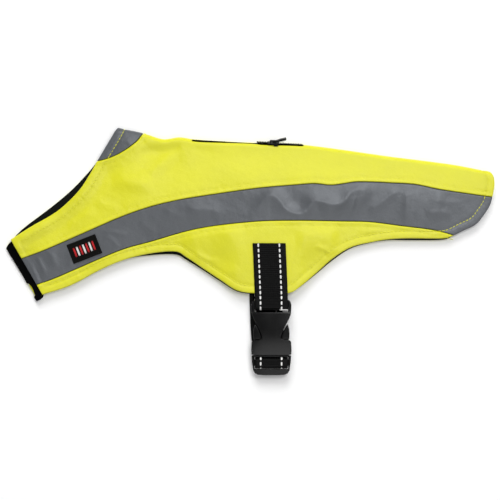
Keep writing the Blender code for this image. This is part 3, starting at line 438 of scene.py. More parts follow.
def fold_section(along, radius, settle):
    """Section of a fold: distance in, height, and the outward direction of both."""
    quarter = radius * math.pi / 2
    turn = np.minimum(np.abs(along), quarter) / radius
    run = np.maximum(np.abs(along) - quarter, 0.0)
    up = np.where(along >= 0, 1.0, -1.0)
    inward = radius * (1 - np.cos(turn)) + run
    height = radius + up * radius * np.sin(turn)
    out_in = -np.cos(turn) * (run == 0.0)
    out_up = np.where(run == 0.0, up * np.sin(turn), up)
    share = np.clip(run / SETTLE_RUN, 0.0, 1.0) * (up > 0)
    slope = settle * 6 * share * (1 - share) / SETTLE_RUN
    size = np.hypot(slope, 1.0)
    height = height - settle * smooth_step(share)
    return inward, height, np.where(slope > 0, slope / size, out_in), out_up / size


def strap_lift(x, y):
    across = 1.0 - smooth_step((LIFT_X[0] - x) / LIFT_RAMP)
    across *= 1.0 - smooth_step((x - LIFT_X[1]) / LIFT_RAMP)
    return STRAP_LIFT * across * (1.0 - smooth_step((y - LIFT_TOP_Y) / LIFT_RAMP))


def soft_folds(x, y):
    total = np.zeros(len(x))
    for fold_x, fold_y, turn, half_length, half_width, height in SOFT_FOLDS:
        c, s = math.cos(math.radians(turn)), math.sin(math.radians(turn))
        u = ((x - fold_x) * c + (y - fold_y) * s) / half_length
        v = ((y - fold_y) * c - (x - fold_x) * s) / half_width
        total += height * np.exp(-u * u - v * v)
    return total


def crease_relief(x, y, table, sharp=False):
    """Height that the creases of a table give at places seen from above."""
    places = np.stack([x, y], axis=1)
    total = np.zeros(len(x))
    for points, height, left, right in table:
        line = smooth_curve(points, 1.5)
        reach = np.abs(line - line.mean(0)).max(0) + max(left, right)
        near = (np.abs(places - line.mean(0)) < reach).all(1)
        distance, along, side = nearest(places[near], line)
        length = np.linalg.norm(np.diff(line, axis=0), axis=1).sum()
        ends = smooth_step(np.minimum(along, length - along) / (0.28 * length))
        width = np.where(side > 0, left, right)
        share = np.clip(1.0 - distance / width, 0.0, 1.0)
        total[near] += height * ends * (share * share if sharp else smooth_step(share))
    return total


def plan(points):
    """Places seen from above of pattern points."""
    inward = fold_section(points[:, 1], FOLD_RADIUS, 0.0)[0]
    return np.stack([points[:, 0], read_table(SPINE, points[:, 0]) - inward], axis=1)


def strap_foot(x, y, beside, above):
    """One where the near strap lies on the cloth, falling to nought around it."""
    inside = smooth_step((x - STRAP_FOOT[0]) / beside + 1.0)
    inside *= smooth_step((STRAP_FOOT[1] - x) / beside + 1.0)
    return inside * smooth_step((STRAP_FOOT_TOP - y) / above + 1.0)


def strap_rise(y):
    return STRAP_RISE * between(y, *STRAP_RISE_Y)


def broad_relief(points):
    """Height of the near half over the plain fold: folds, creases, waves and puff."""
    x, y = plan(points).T
    out = smooth_step((points[:, 1] - QUARTER / 2) / LIFT_RUN)
    settled = smooth_step((points[:, 1] - QUARTER) / SETTLE_RUN)
    edge = nearest(points, OUTLINE)[0]
    creases = crease_relief(x, y, CREASES) + crease_relief(x, y, BAND_CREASES, True)
    least, run = CREASE_EDGE
    creases *= least + (1.0 - least) * smooth_step(edge / run)
    puff = PUFF * between(edge, *PUFF_RUN)
    for length_x, length_y, phase, height in WAVES:
        puff += height * np.sin(2 * math.pi * (x / length_x + y / length_y) + phase)
    close = 1.0 - strap_foot(x, y, *CLOSE_RAMP)
    wide = 1.0 - strap_foot(x, y, *FOOT_RAMP)
    rise = SPINE_RISE[0] * smooth_step((points[:, 1] - QUARTER) / SPINE_RISE[1])
    rise *= smooth_step(edge / RISE_EDGE)
    body = (puff + rise) * wide + strap_rise(y) * (1.0 - wide)
    return (soft_folds(x, y) + creases * close) * out + body * settled


def near_depth(points):
    """Depth that the near half's relief gives a face (negative is proud); none elsewhere."""
    depth = np.zeros(len(points))
    near = points[:, 1] > 0
    depth[near] = -broad_relief(points[near])
    return depth


def uneven(along, phase):
    """A wandering value between about -1 and 1 along a line, for puckers."""
    return (0.5 * np.sin(along * 2 * math.pi / 5.3 + 1.7 * np.sin(along / 21.0 + phase))
            + 0.35 * np.sin(along * 2 * math.pi / 8.9 + phase)
            + 0.3 * np.sin(along * 2 * math.pi / 3.7 + 2.0 * np.sin(along / 13.0)))


def stitch_profile(distance, along, stitch, phase):
    """Relief near an edge or seam that is stitched down: a roll, a groove, and puckers."""
    strength = 0.6 + 0.4 * np.sin(along / 17.0 + phase) * np.sin(along / 41.0)
    height, run = EDGE_ROLL
    before, fall = ROLL_FALL
    roll = height * smooth_step(distance / run)
    roll = roll * (1.0 - smooth_step((distance - stitch + before) / fall))
    groove = hump(distance - stitch, *STITCH_GROOVE)
    puckers = uneven(along, phase) * strength
    puckers *= hump(distance - stitch, *STITCH_PUCKERS) + hump(distance, *EDGE_PUCKERS)
    return roll + groove + puckers


def seam_relief(points, yellow):
    """Fine relief of the outer face: hem, and the yellow cloth turned under at the seams."""
    distance, along, _ = nearest(points, OUTLINE)
    total = stitch_profile(distance, along, HEM, 0.6)
    x, y = plan(points).T
    above, run, past = NECK_RUN
    neck = (points[:, 1] > QUARTER) * smooth_step((y - read_table(BAND_TOP, x) - above) / run)
    neck *= smooth_step((COLLAR_SEAM[-1][0] + past - x) / past)
    total += HEM_RISE * (1.0 - between(distance, *HEM_FALL)) * neck
    for number, seam in enumerate(SEAMS):
        distance, along, _ = nearest(points, seam)
        if yellow:
            total += stitch_profile(distance, along, SEAM_STITCH, 1.1 + number) * SEAM_SHARE
        else:
            height, width = GREY_PUCKERS
            total += height * uneven(along, 2.2 + number) * hump(distance, 1.0, width)
    return total


def garment(points, depth):
    """The folded garment: pattern points and depth under its outer face to space."""
    inward, height, out_in, out_up = fold_section(points[:, 1], FOLD_RADIUS,
                                                  2 * FOLD_RADIUS - FLAT_TOP)
    x = points[:, 0]
    y = read_table(SPINE, x) - inward
    height = height + strap_lift(x, y)
    return np.stack([x, y + depth * out_in, height - depth * out_up], axis=1)


def outer_depth(points, yellow=True):
    """Depth of the dressed outer face of the cloth at pattern points (negative is proud)."""
    fine = seam_relief(points, yellow)
    depth = near_depth(points) - fine
    far = points[:, 1] <= 0
    x, y = plan(points[far]).T
    flat = smooth_step((-points[far][:, 1] - QUARTER / 2) / LIFT_RUN)
    pressed = crease_relief(x, y, FAR_CREASES) * flat
    sunk = np.clip(FAR_SINK - fine[far], 0.0, FAR_MOST)
    depth[far] = sunk * flat + pressed - fine[far] * (1 - flat)
    return depth


def closure_frame():
    start, end = np.array(CLOSURE_START), np.array(CLOSURE_END)
    down = (end - start) / np.linalg.norm(end - start)
    return start, down, np.array((-down[1], down[0]))


def closure_inward(places):
    start, _, inward = closure_frame()
    return (places - start) @ inward


def closure(points, depth):
    """The turned end of the far half at the chest closure."""
    start, down, inward = closure_frame()
    into, height, out_in, out_up = fold_section(points[:, 1], CLOSURE_RADIUS, 0.0)
    set_in = CLOSURE_SET_IN * (1.0 - between(points[:, 0], *CLOSURE_STEP))
    reach = into + set_in - depth * out_in
    place = start + down * points[:, :1] + inward * reach[:, None]
    return np.column_stack([place, height - depth * out_up])


def pattern(places, side):
    """Pattern coordinates of places seen from above, on the near or the far side."""
    places = np.asarray(places, float)
    inward = np.maximum(read_table(SPINE, places[:, 0]) - places[:, 1], 0.0)
    bent = FOLD_RADIUS * np.arccos(np.clip(1 - inward / FOLD_RADIUS, -1.0, 1.0))
    along = np.where(inward < FOLD_RADIUS, bent, QUARTER + inward - FOLD_RADIUS)
    return np.stack([places[:, 0], side * along], axis=1)


def edge_curve(table, side, step=LOOP_STEP):
    return pattern(smooth_curve([row[:2] for row in table], step), side)


def over_crest(table, crest_x, step=LOOP_STEP):
    """A curve from the far side over the crest to the near side."""
    near = pattern(table, 1)
    far = near[::-1] * (1, -1)
    return smooth_curve(np.vstack([far, [(crest_x, 0.0)], near]), step)


def lower_edge(side, step=LOOP_STEP):
    table = [(x, y - (more if side < 0 else 0.0)) for x, y, more in LOWER_EDGE]
    return edge_curve(table, side, step)


def outline(step):
    """The free edge of the whole garment, spread flat."""
    return join(
        over_crest(COLLAR_FRONT, SPINE[0][0], step),
        edge_curve(NECK_NEAR, 1, step),
        edge_curve((CHEST_END[0], CHEST_END[-1]), 1, step),
        lower_edge(1, step),
        edge_curve(TAIL_LOW, 1, step)[::-1],
        over_crest(TAIL_TOP, SPINE[-1][0], step)[::-1],
        edge_curve(TAIL_LOW, -1, step),
        lower_edge(-1, step)[::-1],
        edge_curve((NECK_FAR[-1], CHEST_END[-1]), -1, step)[::-1],
        edge_curve(NECK_FAR, -1, step)[::-1],
    )


OUTLINE = closed(outline(3.0))
SEAMS = [edge_curve(table, side, 3.0) for side in (1, -1) for table in (BAND_TOP, BAND_LOW)]
SEAMS.append(over_crest(COLLAR_SEAM, SPINE[1][0], 2.0))


# ---------------------------------------------------------------- meshes

def grid_points(loops, step):
    """An offset grid over the loops' box, closer together round the fold."""
    points = np.vstack(loops)
    (x0, y0), (x1, y1) = points.min(0), points.max(0)
    rows = []
    along = y0
    while along < y1:
        rows.append(along)
        row = step * GRID_ROW
        along += min(row, FOLD_ROW) if abs(along) < QUARTER + 1.0 else row
    made = []
    for number, along in enumerate(rows):
        xs = np.arange(x0 + 0.5 * step * (number % 2), x1, step)
        made.append(np.stack([xs, np.full(len(xs), along)], axis=1))
    return np.vstack(made)


def triangulate(loops, step):
    """Points, triangles and distance to the rim of a flat piece with close rows at its rim."""
    rim = [closed(loop) for loop in loops]

    def to_rim(points):
        return np.min([nearest(points, line)[0] for line in rim], axis=0)

    near_rim = np.vstack([inset(loop, reach if loop is loops[0] else -reach)
                          for loop in loops for reach in RIM_ROWS])
    near_rim = near_rim[(to_rim(near_rim) > RIM_ROWS[0] * 0.8) & is_inside(near_rim, loops)]
    grid = grid_points(loops, step)
    grid = grid[is_inside(grid, loops)]
    grid = grid[to_rim(grid) > RIM_ROWS[-1] + GRID_CLEAR * step]
    points = np.vstack(loops + [near_rim, grid])
    edges = []
    start = 0
    for loop in loops:
        edges += [(start + i, start + (i + 1) % len(loop)) for i in range(len(loop))]
        start += len(loop)
    flat, _, faces, *_ = delaunay_2d_cdt([Vector(p) for p in points], edges, [], 0, 1e-5)
    flat = np.array([tuple(p) for p in flat])
    faces = np.array([tuple(face) for face in faces if len(face) == 3])
    faces = faces[is_inside(flat[faces].mean(1), loops)]
    used, faces = np.unique(faces, return_inverse=True)
    flat = flat[used]
    return flat, faces.reshape(-1, 3), to_rim(flat)


def rounding(gap, radius):
    """How far a rounded rim lies under its face at a distance in from the edge."""
    short = np.clip(radius - gap, 0.0, radius)
    return radius - np.sqrt(radius * radius - short * short)


def wall(name, loops, layer, step, material, surface=garment, relief=None, under=None, rim=RIM):
    """A cloth piece between two depths; relief and under give each face's own depth."""
    flat, faces, gap = triangulate(loops, step)
    top = layer[0] + (relief(flat) if relief else 0.0) + rounding(gap, rim)
    bottom = layer[1] + (under(flat) if under else 0.0) - rounding(gap, rim * UNDER_RIM)
    top = np.minimum(top, bottom - LEAST_WALL)
    points = np.vstack([surface(flat, top), surface(flat, bottom)]) * MM
    count = len(flat)
    sides = {}
    for a, b, c in faces.tolist():
        for edge in ((a, b), (b, c), (c, a)):
            if edge[::-1] in sides:
                del sides[edge[::-1]]
            else:
                sides[edge] = True
    tall = [(a, b, b + count, a + count) for a, b in sides]
    everything = [tuple(face) for face in faces[:, ::-1].tolist()]
    everything += [tuple(face) for face in (faces + count).tolist()] + tall
    made = add_object(name, points, everything, material)
    place = np.tile(np.column_stack([flat, np.zeros(count)]), (2, 1)) * MM
    store(made, "cloth_place", "FLOAT_VECTOR", place)
    hem = nearest(flat, OUTLINE)[0]
    store(made, "hem_gap", "FLOAT", np.tile(hem, 2) * MM)
    return made


def store(item, name, kind, values):
    attribute = item.data.attributes.new(name, kind, "POINT")
    field = "vector" if kind == "FLOAT_VECTOR" else "value"
    attribute.data.foreach_set(field, np.asarray(values, np.float32).ravel())


def add_object(name, points, faces, material, smooth_angle=45.0):
    """A closed mesh piece, its faces pointing out, that rides on the vest."""
    mesh = bpy.data.meshes.new(name)
    points = np.asarray(points) + (*(v * MM for v in CENTRE_SHIFT), 0.0)
    points[:, 2] = np.maximum(points[:, 2], 0.0)
    mesh.from_pydata([tuple(p) for p in points], [], faces)
    shape = bmesh.new()
    shape.from_mesh(mesh)
    bmesh.ops.recalc_face_normals(shape, faces=shape.faces)
    shape.to_mesh(mesh)
    shape.free()
    return mesh_piece(name, mesh, material, smooth_angle)


def mesh_piece(name, mesh, material, smooth_angle, body="vest"):
    """A piece from its mesh, smooth but for sharp edges, that rides on a body."""
    mesh.materials.clear()
    mesh.materials.append(MATERIALS[material])
    mesh.polygons.foreach_set("use_smooth", [True] * len(mesh.polygons))
    if smooth_angle:
        mesh.set_sharp_from_angle(angle=math.radians(smooth_angle))
    made = link(name, mesh)
    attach(made, body)
    return made


def link(name, data):
    """A new object in the scene from a mesh, a light or a camera."""
    made = bpy.data.objects.new(name, data)
    bpy.context.scene.collection.objects.link(made)
    return made


# ---------------------------------------------------------------- materials

class Nodes:
    """A short way to write a material's node tree."""

    def __init__(self, name, roughness, metallic=0.0, **sockets):
        self.material = bpy.data.materials.new(name)
        self.material.use_nodes = True
        self.tree = self.material.node_tree
        self.shader = self.tree.nodes["Principled BSDF"]
        self.shader.inputs["Roughness"].default_value = roughness
        self.shader.inputs["Metallic"].default_value = metallic
        for socket, value in sockets.items():
            self.shader.inputs[socket.replace("_", " ")].default_value = value

    def add(self, kind, settings=None, **inputs):
        node = self.tree.nodes.new("ShaderNode" + kind)
        for key, value in (settings or {}).items():
            setattr(node, key, value)
        for key, value in inputs.items():
            socket = node.inputs[int(key[1:])] if key[0] == "i" and key[1:].isdigit() \
                else node.inputs[key.replace("_", " ")]
            if isinstance(value, bpy.types.NodeSocket):
                self.tree.links.new(value, socket)
            else:
                socket.default_value = value
        return node

    def math(self, operation, a, b=0.0):
        return self.add("Math", {"operation": operation}, i0=a, i1=b).outputs[0]

    def place(self):
        return self.add("Attribute", {"attribute_name": "cloth_place"}).outputs["Vector"]

    def here(self):
        return self.add("TexCoord").outputs["Object"]

    def noise(self, vector, scale, detail=3.0):
        node = self.add("TexNoise", Vector=vector, Scale=scale, Detail=detail)
        return node.outputs["Fac"]

    def weave(self, vector, pitch):
        """Plain weave: threads over and under each other, one pitch apart."""
        parts = self.add("SeparateXYZ", Vector=vector)
        turn = math.pi / pitch
        u = self.math("SINE", self.math("MULTIPLY", parts.outputs[0], turn))
        v = self.math("SINE", self.math("MULTIPLY", parts.outputs[1], turn))
        return self.math("MULTIPLY", u, v)

    def ramp(self, value, stops):
        node = self.add("ValToRGB", Fac=value)
        ramp = node.color_ramp
        while len(ramp.elements) < len(stops):
            ramp.elements.new(0.5)
        for element, (position, colour) in zip(ramp.elements, stops):
            element.position = position
            element.color = (*colour, 1.0)
        return node.outputs["Color"]

    def pressed(self, tone):
        """The tone, darker along the line where a hem is stitched down: painted shade in the
        stitch groove, and a little at the very edge.
        """
        gap = self.add("Attribute", {"attribute_name": "hem_gap"}).outputs["Fac"]
        place = self.math("DIVIDE", gap, 0.02)
        shade = self.ramp(place, [(0.0, (0.97,) * 3), (0.22, (1.0,) * 3), (0.275, (0.92,) * 3),
                                  (0.31, (0.94,) * 3), (0.42, (0.98,) * 3), (0.7, (1.0,) * 3)])
        mixed = self.add("Mix", {"data_type": "RGBA", "blend_type": "MULTIPLY"}, i0=1.0)
        self.tree.links.new(tone, mixed.inputs[6])
        self.tree.links.new(shade, mixed.inputs[7])
        return mixed.outputs[2]

    def colour(self, socket):
        self.tree.links.new(socket, self.shader.inputs["Base Color"])

    def rough(self, value, low, high):
        node = self.add("MapRange", Value=value, To_Min=low, To_Max=high)
        self.tree.links.new(node.outputs["Result"], self.shader.inputs["Roughness"])

    def bump(self, height, distance, strength=1.0, normal=None):
        inputs = {"Height": height, "Distance": distance, "Strength": strength}
        if normal is not None:
            inputs["Normal"] = normal
        node = self.add("Bump", None, **inputs)
        self.tree.links.new(node.outputs["Normal"], self.shader.inputs["Normal"])
        return node.outputs["Normal"]


def scaled(colour, factor):
    return tuple(channel * factor for channel in colour)


def woven(name, colour, roughness, pitch, spread, weave_depth, pressed=False, **sockets):
    """Woven cloth: threads, slight mottling and a soft unevenness."""
    made = Nodes(name, roughness, **sockets)
    place = made.place()
    mottle = made.noise(place, 55.0, 4.0)
    threads = made.weave(place, pitch)
    slub = made.noise(place, 900.0, 2.0)
    shade = made.math("ADD", made.math("MULTIPLY", threads, 0.10),
                      made.math("ADD", made.math("MULTIPLY", mottle, 0.65),
                                made.math("MULTIPLY", slub, 0.35)))
    tone = made.ramp(shade, [(0.25, scaled(colour, 1.0 - spread)), (0.5, colour),
                             (0.75, scaled(colour, 1.0 + spread))])
    # pressed: painted shade along the hem's stitch groove
    made.colour(made.pressed(tone) if pressed else tone)
    made.rough(mottle, roughness - 0.08, roughness + 0.08)
    wrinkle = made.noise(place, 160.0, 3.0)
    soft = made.bump(wrinkle, 0.0012, 0.25)
    made.bump(threads, weave_depth, 0.6, soft)
    return made.material


# Key, name, colour, roughness, thread pitch and mottling, thread depth, metallic, specular.
CLOTHS = (
    ("yellow", "yellow_cloth", (0.705, 0.692, 0.006), 0.37, 0.00042, 0.04, 0.00006, 0.0, 0.75),
    ("grey", "reflective_cloth", (0.123, 0.131, 0.142), 0.39, 0.00036, 0.08, 0.00003, 0.35, 0.4),
    ("lining", "lining_cloth", (0.0060, 0.0072, 0.0060), 0.85, 0.0005, 0.2, 0.00008, 0.0, 0.08),
    ("label", "label_cloth", (0.0055, 0.0055, 0.0050), 0.8, 0.0003, 0.2, 0.00008, 0.0, 0.08),
    ("loop", "loop_tape", (0.0022, 0.0022, 0.0022), 0.95, 0.0006, 0.35, 0.0002, 0.0, 0.04),
    ("zip_tape", "zip_tape", (0.0045, 0.0045, 0.0045), 0.85, 0.0005, 0.2, 0.00006, 0.0, 0.06),
    ("webbing", "webbing", (0.0018, 0.0018, 0.0018), 0.42, 0.0007, 0.2, 0.00012, 0.0, 0.13),
)
# Name, colour, roughness, share of the colour in the dark fibres, specular.
THREADS = (
    ("yellow_thread", (0.73, 0.72, 0.03), 0.6, 0.88, 0.2),
    ("white_thread", (0.86, 0.86, 0.84), 0.5, 0.8, 0.2),
    ("black_thread", (0.006, 0.006, 0.006), 0.6, 0.6, 0.2),
    ("red_thread", (0.60, 0.025, 0.030), 0.55, 0.7, 0.2),
    ("coil_nylon", (0.001, 0.001, 0.001), 0.45, 0.7, 0.02),
)


def make_materials():
    # The yellow cloth gets painted shade along its hem's stitch groove (pressed).
    made = {key: woven(name, colour, roughness, pitch, spread, depth, pressed=key == "yellow",
                       metallic=metallic, Specular_IOR_Level=specular)
            for key, name, colour, roughness, pitch, spread, depth, metallic, specular in CLOTHS}

    plastic = Nodes("buckle_plastic", 0.25, Specular_IOR_Level=0.4)
    here = plastic.here()
    grain = plastic.noise(here, 2600.0, 2.0)
    cloud = plastic.noise(here, 120.0, 3.0)
    plastic.colour(plastic.ramp(cloud, [(0.3, (0.0018, 0.0018, 0.0019)),
                                        (0.7, (0.0030, 0.0030, 0.0031))]))
    plastic.rough(cloud, 0.22, 0.29)
    plastic.bump(grain, 0.00003, 0.5)
    made["plastic"] = plastic.material

    metal = Nodes("slider_metal", 0.40, Specular_IOR_Level=0.15)
    here = metal.here()
    wear = metal.noise(here, 1400.0, 4.0)
    metal.colour(metal.ramp(wear, [(0.62, (0.002, 0.002, 0.002)), (0.76, (0.02, 0.02, 0.02))]))
    metal.rough(wear, 0.34, 0.48)
    metal.bump(metal.noise(here, 3000.0, 2.0), 0.00002, 0.4)
    made["metal"] = metal.material

    for name, colour, rough, dark, specular in THREADS:
        thread = Nodes(name, rough, Specular_IOR_Level=specular)
        fibre = thread.noise(thread.here(), 2500.0, 3.0)
        thread.colour(thread.ramp(fibre, [(0.3, scaled(colour, dark)), (0.7, colour)]))
        thread.rough(fibre, rough - 0.08, rough + 0.08)
        thread.bump(fibre, 0.00006, 0.6)
        made[name] = thread.material
    return made


MATERIALS = make_materials()


# ---------------------------------------------------------------- cloth pieces

def shell_piece(name, curves, step, cloth, *holes):
    """A piece of the outer cloth between curves that meet end to end."""
    loop = inset(join(*curves), GAP / 2)
    room = closure_inward(plan(loop)) - TAB_UNDER - GAP
    loop = trim(loop, np.where(loop[:, 1] < 0, room, 1.0))
    return wall(name, [loop, *holes], SHELL, step, cloth,
                relief=lambda points: outer_depth(points, cloth == "yellow"), under=near_depth)


def zip_loop(margin):
    """The opening between the zip's lips, or what lies inside it, as a long loop."""
    start, end = ZIP_LIPS[0][0] + margin, ZIP_LIPS[-1][0] - margin
    middle = even_steps([(start, 0.0), (end, 0.0)], LOOP_STEP)[:, 0]
    halves = read_table(ZIP_LIPS, middle) - margin
    line = read_table(ZIP_LINE, middle)
    near = np.stack([middle, line + halves], axis=1)
    far = np.stack([middle, line - halves], axis=1)
    return join(near, far[::-1])


def make_back_panel():
    curves = (
        over_crest(COLLAR_SEAM, SPINE[1][0]), edge_curve(NECK_NEAR, 1),
        edge_curve(CHEST_END[:2], 1), edge_curve(BAND_TOP, 1),
        over_crest(TAIL_TOP, SPINE[-1][0])[::-1], edge_curve(BAND_TOP, -1)[::-1],
        edge_curve(CHEST_END[:2], -1)[::-1], edge_curve(NECK_FAR, -1)[::-1],
    )
    return shell_piece("back_cloth", curves, FINE, "yellow", zip_loop(0.0))


def make_collar():
    curves = (over_crest(COLLAR_SEAM, SPINE[1][0]),
              over_crest(COLLAR_FRONT, SPINE[0][0])[::-1])
    return shell_piece("collar_cloth", curves, 1.0, "grey")


def make_band(side, name):
    curves = (edge_curve(BAND_TOP, side), edge_curve(TAIL_LOW, side),
              edge_curve(BAND_LOW, side)[::-1], edge_curve(CHEST_END[1:3], side)[::-1])
    return shell_piece(name, curves, SIDE_STEP[side], "grey")


def make_flank(side, name):
    curves = (edge_curve(BAND_LOW, side), lower_edge(side)[::-1],
              edge_curve(CHEST_END[2:], side)[::-1])
    return shell_piece(name, curves, SIDE_STEP[side], "yellow")


# How far the lining ends inside the outline on the far half, and how much more on the near
# one, and half the run from the one to the other, over the crest.
LINING_IN = (0.15, 1.45)
LINING_TURN = 6.0


def make_lining():
    loop = outline(2.0)
    least, more = LINING_IN
    loop = inset(loop, least + more * between(loop[:, 1], -LINING_TURN, LINING_TURN))
    loop = trim(loop, closure_inward(plan(loop)) - TAB_OVER - 2 * GAP)
    return wall("lining_cloth", [loop], LINING, 3.0, "lining",
                relief=near_depth, under=near_depth, rim=0.3)


def noise_field(points, scale, seed):
    """Even small bumps from sines in several directions."""
    total = np.zeros(len(points))
    for k in range(7):
        turn = seed + 2.4 * k
        way = points[:, 0] * math.cos(turn) + points[:, 1] * math.sin(turn)
        total += np.sin(way * 2 * math.pi / (scale * (1.0 + 0.13 * k)) + 1.9 * k)
    return total / 3.5


def make_closure():
    tab = stepped(TAB_OUTLINE, 0.8)
    tape = stepped(LOOP_OUTLINE, 0.6)
    cloth = wall("closure_cloth", [tab], TAB_LAYER, 1.0, "yellow", surface=closure,
                 relief=lambda p: 0.08 + 0.08 * noise_field(p, 4.0, 0.7), rim=0.5)
    pile = wall("closure_pile", [tape], LOOP_LAYER, 0.6, "loop", surface=closure,
                relief=lambda p: 0.1 * noise_field(p, 1.3, 0.2), rim=0.4)
    return cloth, pile


def label_place(points):
    """Pattern points of places on the label, measured from its middle."""
    c, s = math.cos(math.radians(LABEL_TURN)), math.sin(math.radians(LABEL_TURN))
    x = LABEL_CENTRE[0] + c * points[:, 0] - s * points[:, 1]
    y = LABEL_CENTRE[1] + s * points[:, 0] + c * points[:, 1]
    return pattern(np.stack([x, y], axis=1), 1)


def label_surface(points, depth):
    return garment(label_place(points), depth)


def label_depth(points):
    return -broad_relief(label_place(points))


def make_label():
    half = np.array(LABEL_SIZE) / 2

    def relief(points):
        gap = np.min(half - np.abs(points), axis=1)
        edge = hump(gap - LABEL_BORDER, -0.12, 0.5) + hump(gap - 1.7, 0.15, 0.35)
        return edge + label_depth(points) + 0.03 * noise_field(points, 1.1, 0.3)

    return wall("label_cloth", [stepped(LABEL_CORNERS * half, 0.6)], LABEL_LAYER, 0.5, "label",
                surface=label_surface, relief=relief, under=label_depth, rim=0.3)


ZIP_SINK = 0.25              # how much deeper the tape lies where the lips are closed
ZIP_OPENING = (0.3, 0.5)     # half width up to which they count as closed, and the run to open


def make_zip_strip():
    def relief(points):
        shut, run = ZIP_OPENING
        closed_lips = 1.0 - smooth_step((read_table(ZIP_LIPS, points[:, 0]) - shut) / run)
        return ZIP_SINK * closed_lips + near_depth(points)

    return wall("zip_cloth", [zip_loop(ZIP_GAP)], ZIP_LAYER, 0.7, "zip_tape", relief=relief,
                rim=0.15)


# ---------------------------------------------------------------- threads and teeth

TUBE_END = 0.45              # how wide a tube still is at its ends, as a share
STITCH_STEP = 0.25           # step at which a line to be stitched is read
STITCH_RISE = (-0.22, 0.05)  # how far a stitch stands up at its ends and next to them
# Pitch, length and radius of the stitches.
HEM_THREAD = (3.0, 2.75, 0.27)
SEAM_THREAD = (3.0, 2.6, 0.15)
LABEL_THREAD = (1.9, 1.5, 0.13)


def tube(line, ups, radius, sides=6, flat=1.0):
    """Points and faces of a thin tube along a line, closed and narrowed at its ends."""
    line = np.asarray(line, float)
    way = unit(np.gradient(line, axis=0))
    across = unit(np.cross(way, ups))
    ups = np.cross(across, way)
    turns = np.arange(sides) * 2 * math.pi / sides
    widths = np.full(len(line), radius)
    widths[[0, -1]] *= TUBE_END
    rings = line[:, None] + widths[:, None, None] * (
        np.cos(turns)[None, :, None] * across[:, None]
        + flat * np.sin(turns)[None, :, None] * ups[:, None])
    points = rings.reshape(-1, 3)
    faces = []
    for i in range(len(line) - 1):
        for k in range(sides):
            a, b = i * sides + k, i * sides + (k + 1) % sides
            faces.append((a, b, b + sides, a + sides))
    faces.append(tuple(range(sides))[::-1])
    faces.append(tuple((len(line) - 1) * sides + k for k in range(sides)))
    return points, faces


def add_tubes(name, tubes, material):
    points, faces = [], []
    for tube_points, tube_faces in tubes:
        start = sum(len(p) for p in points)
        points.append(tube_points)
        faces += [tuple(start + i for i in face) for face in tube_faces]
    return add_object(name, np.vstack(points) * MM, faces, material, smooth_angle=70.0)


def laid_tube(flat, depth, radius, surface=garment):
    """A thin tube along pattern points, lying at a depth under a surface."""
    space = surface(flat, depth)
    return tube(space, surface(flat, depth - 1.0) - space, radius)


def stitches(line, thread, relief, keep=None, surface=garment, lift=0.1):
    """Stitches along a pattern line, each a small tube that dips into the cloth."""
    pitch, length, radius = thread
    ends, beside = STITCH_RISE
    line = even_steps(line, STITCH_STEP)
    count = int(len(line) * STITCH_STEP / pitch)
    step = (len(line) - 1) / max(count, 1)
    tubes = []
    places = []
    for k in range(count):
        first = k * step
        at = first + np.linspace(0.0, 1.0, 5) * length / STITCH_STEP
        places.append(np.stack([np.interp(at, np.arange(len(line)), line[:, c])
                                for c in (0, 1)], axis=1))
    flat = np.vstack(places)
    depth = relief(flat)
    rise = np.tile(np.array([ends, beside, lift, beside, ends]), count)
    space = surface(flat, depth - rise)
    out = surface(flat, depth - rise - 1.0) - space
    for k in range(count):
        rows = slice(5 * k, 5 * k + 5)
        if keep is None or keep(flat[rows]).all():
            tubes.append(tube(space[rows], out[rows], radius))
    return tubes


# The thread stays clear of the strap on the near half: middle, half width, top.
STRAP_CLEAR = (15.6, 13.5, 7.0)
CLOSURE_CLEAR = (TAB_UNDER + 2.0, 14.0)  # and of the closure, on the far and the near half


def make_stitches():
    hem = closed(inset(outline(1.0), HEM))

    def clear(points):
        middle, half, top = STRAP_CLEAR
        far = points[:, 1] < 0
        places = plan(points)
        inward = closure_inward(places)
        x, y = places.T
        under_strap = (np.abs(x - middle) < half) & (y < top) & (points[:, 1] > 0)
        return np.where(far, inward > CLOSURE_CLEAR[0], inward > CLOSURE_CLEAR[1]) & ~under_strap

    add_tubes("hem_stitches", stitches(hem, HEM_THREAD, outer_depth, clear, lift=0.16),
              "yellow_thread")
    tubes = []
    for number, seam in enumerate(SEAMS):
        away = -SEAM_STITCH if number in (1, 2) else SEAM_STITCH
        tubes += stitches(offset_line(seam, away), SEAM_THREAD, outer_depth, clear)
    add_tubes("seam_stitches", tubes, "yellow_thread")


def offset_line(line, distance):
    """An open line moved to its right by a distance."""
    way = unit(np.gradient(line, axis=0))
    return line + np.stack([way[:, 1], -way[:, 0]], axis=1) * distance


STRIPES = 7                  # upright stripes woven into the label
STRIPE_PITCH = 2.5
STRIPE_HALF = 3.6            # half their height
STRIPE_THREADS = (-2, -1, 0, 1, 2)
THREAD = 0.27                # distance between a stripe's threads
THREAD_RADIUS = 0.17
THREAD_PROUD = 0.1 * np.array([-0.5, 1.0, 1.2, 1.0, -0.5])
LABEL_FACE = 1.05            # how far over the band's cloth the label's threads begin
LABEL_BORDER = 0.8           # how far in from the label's edge it is stitched down


def make_label_details():
    """Plain upright stripes in two colours, and the stitches that hold the label."""
    def relief(points):
        return label_depth(points) - LABEL_FACE

    border = closed(stepped(LABEL_CORNERS * (np.array(LABEL_SIZE) / 2 - LABEL_BORDER), 0.5))
    add_tubes("label_stitches",
              stitches(border, LABEL_THREAD, relief, surface=label_surface), "black_thread")
    for name, material, first in (("label_red_stripes", "red_thread", 0),
                                  ("label_white_stripes", "white_thread", 1)):
        tubes = []
        for k in range(first, STRIPES, 2):
            for n in STRIPE_THREADS:
                x = (k - STRIPES // 2) * STRIPE_PITCH + n * THREAD
                flat = np.linspace((x, -STRIPE_HALF), (x, STRIPE_HALF), len(THREAD_PROUD))
                tubes.append(laid_tube(flat, relief(flat) - THREAD_PROUD, THREAD_RADIUS,
                                       label_surface))
        add_tubes(name, tubes, material)


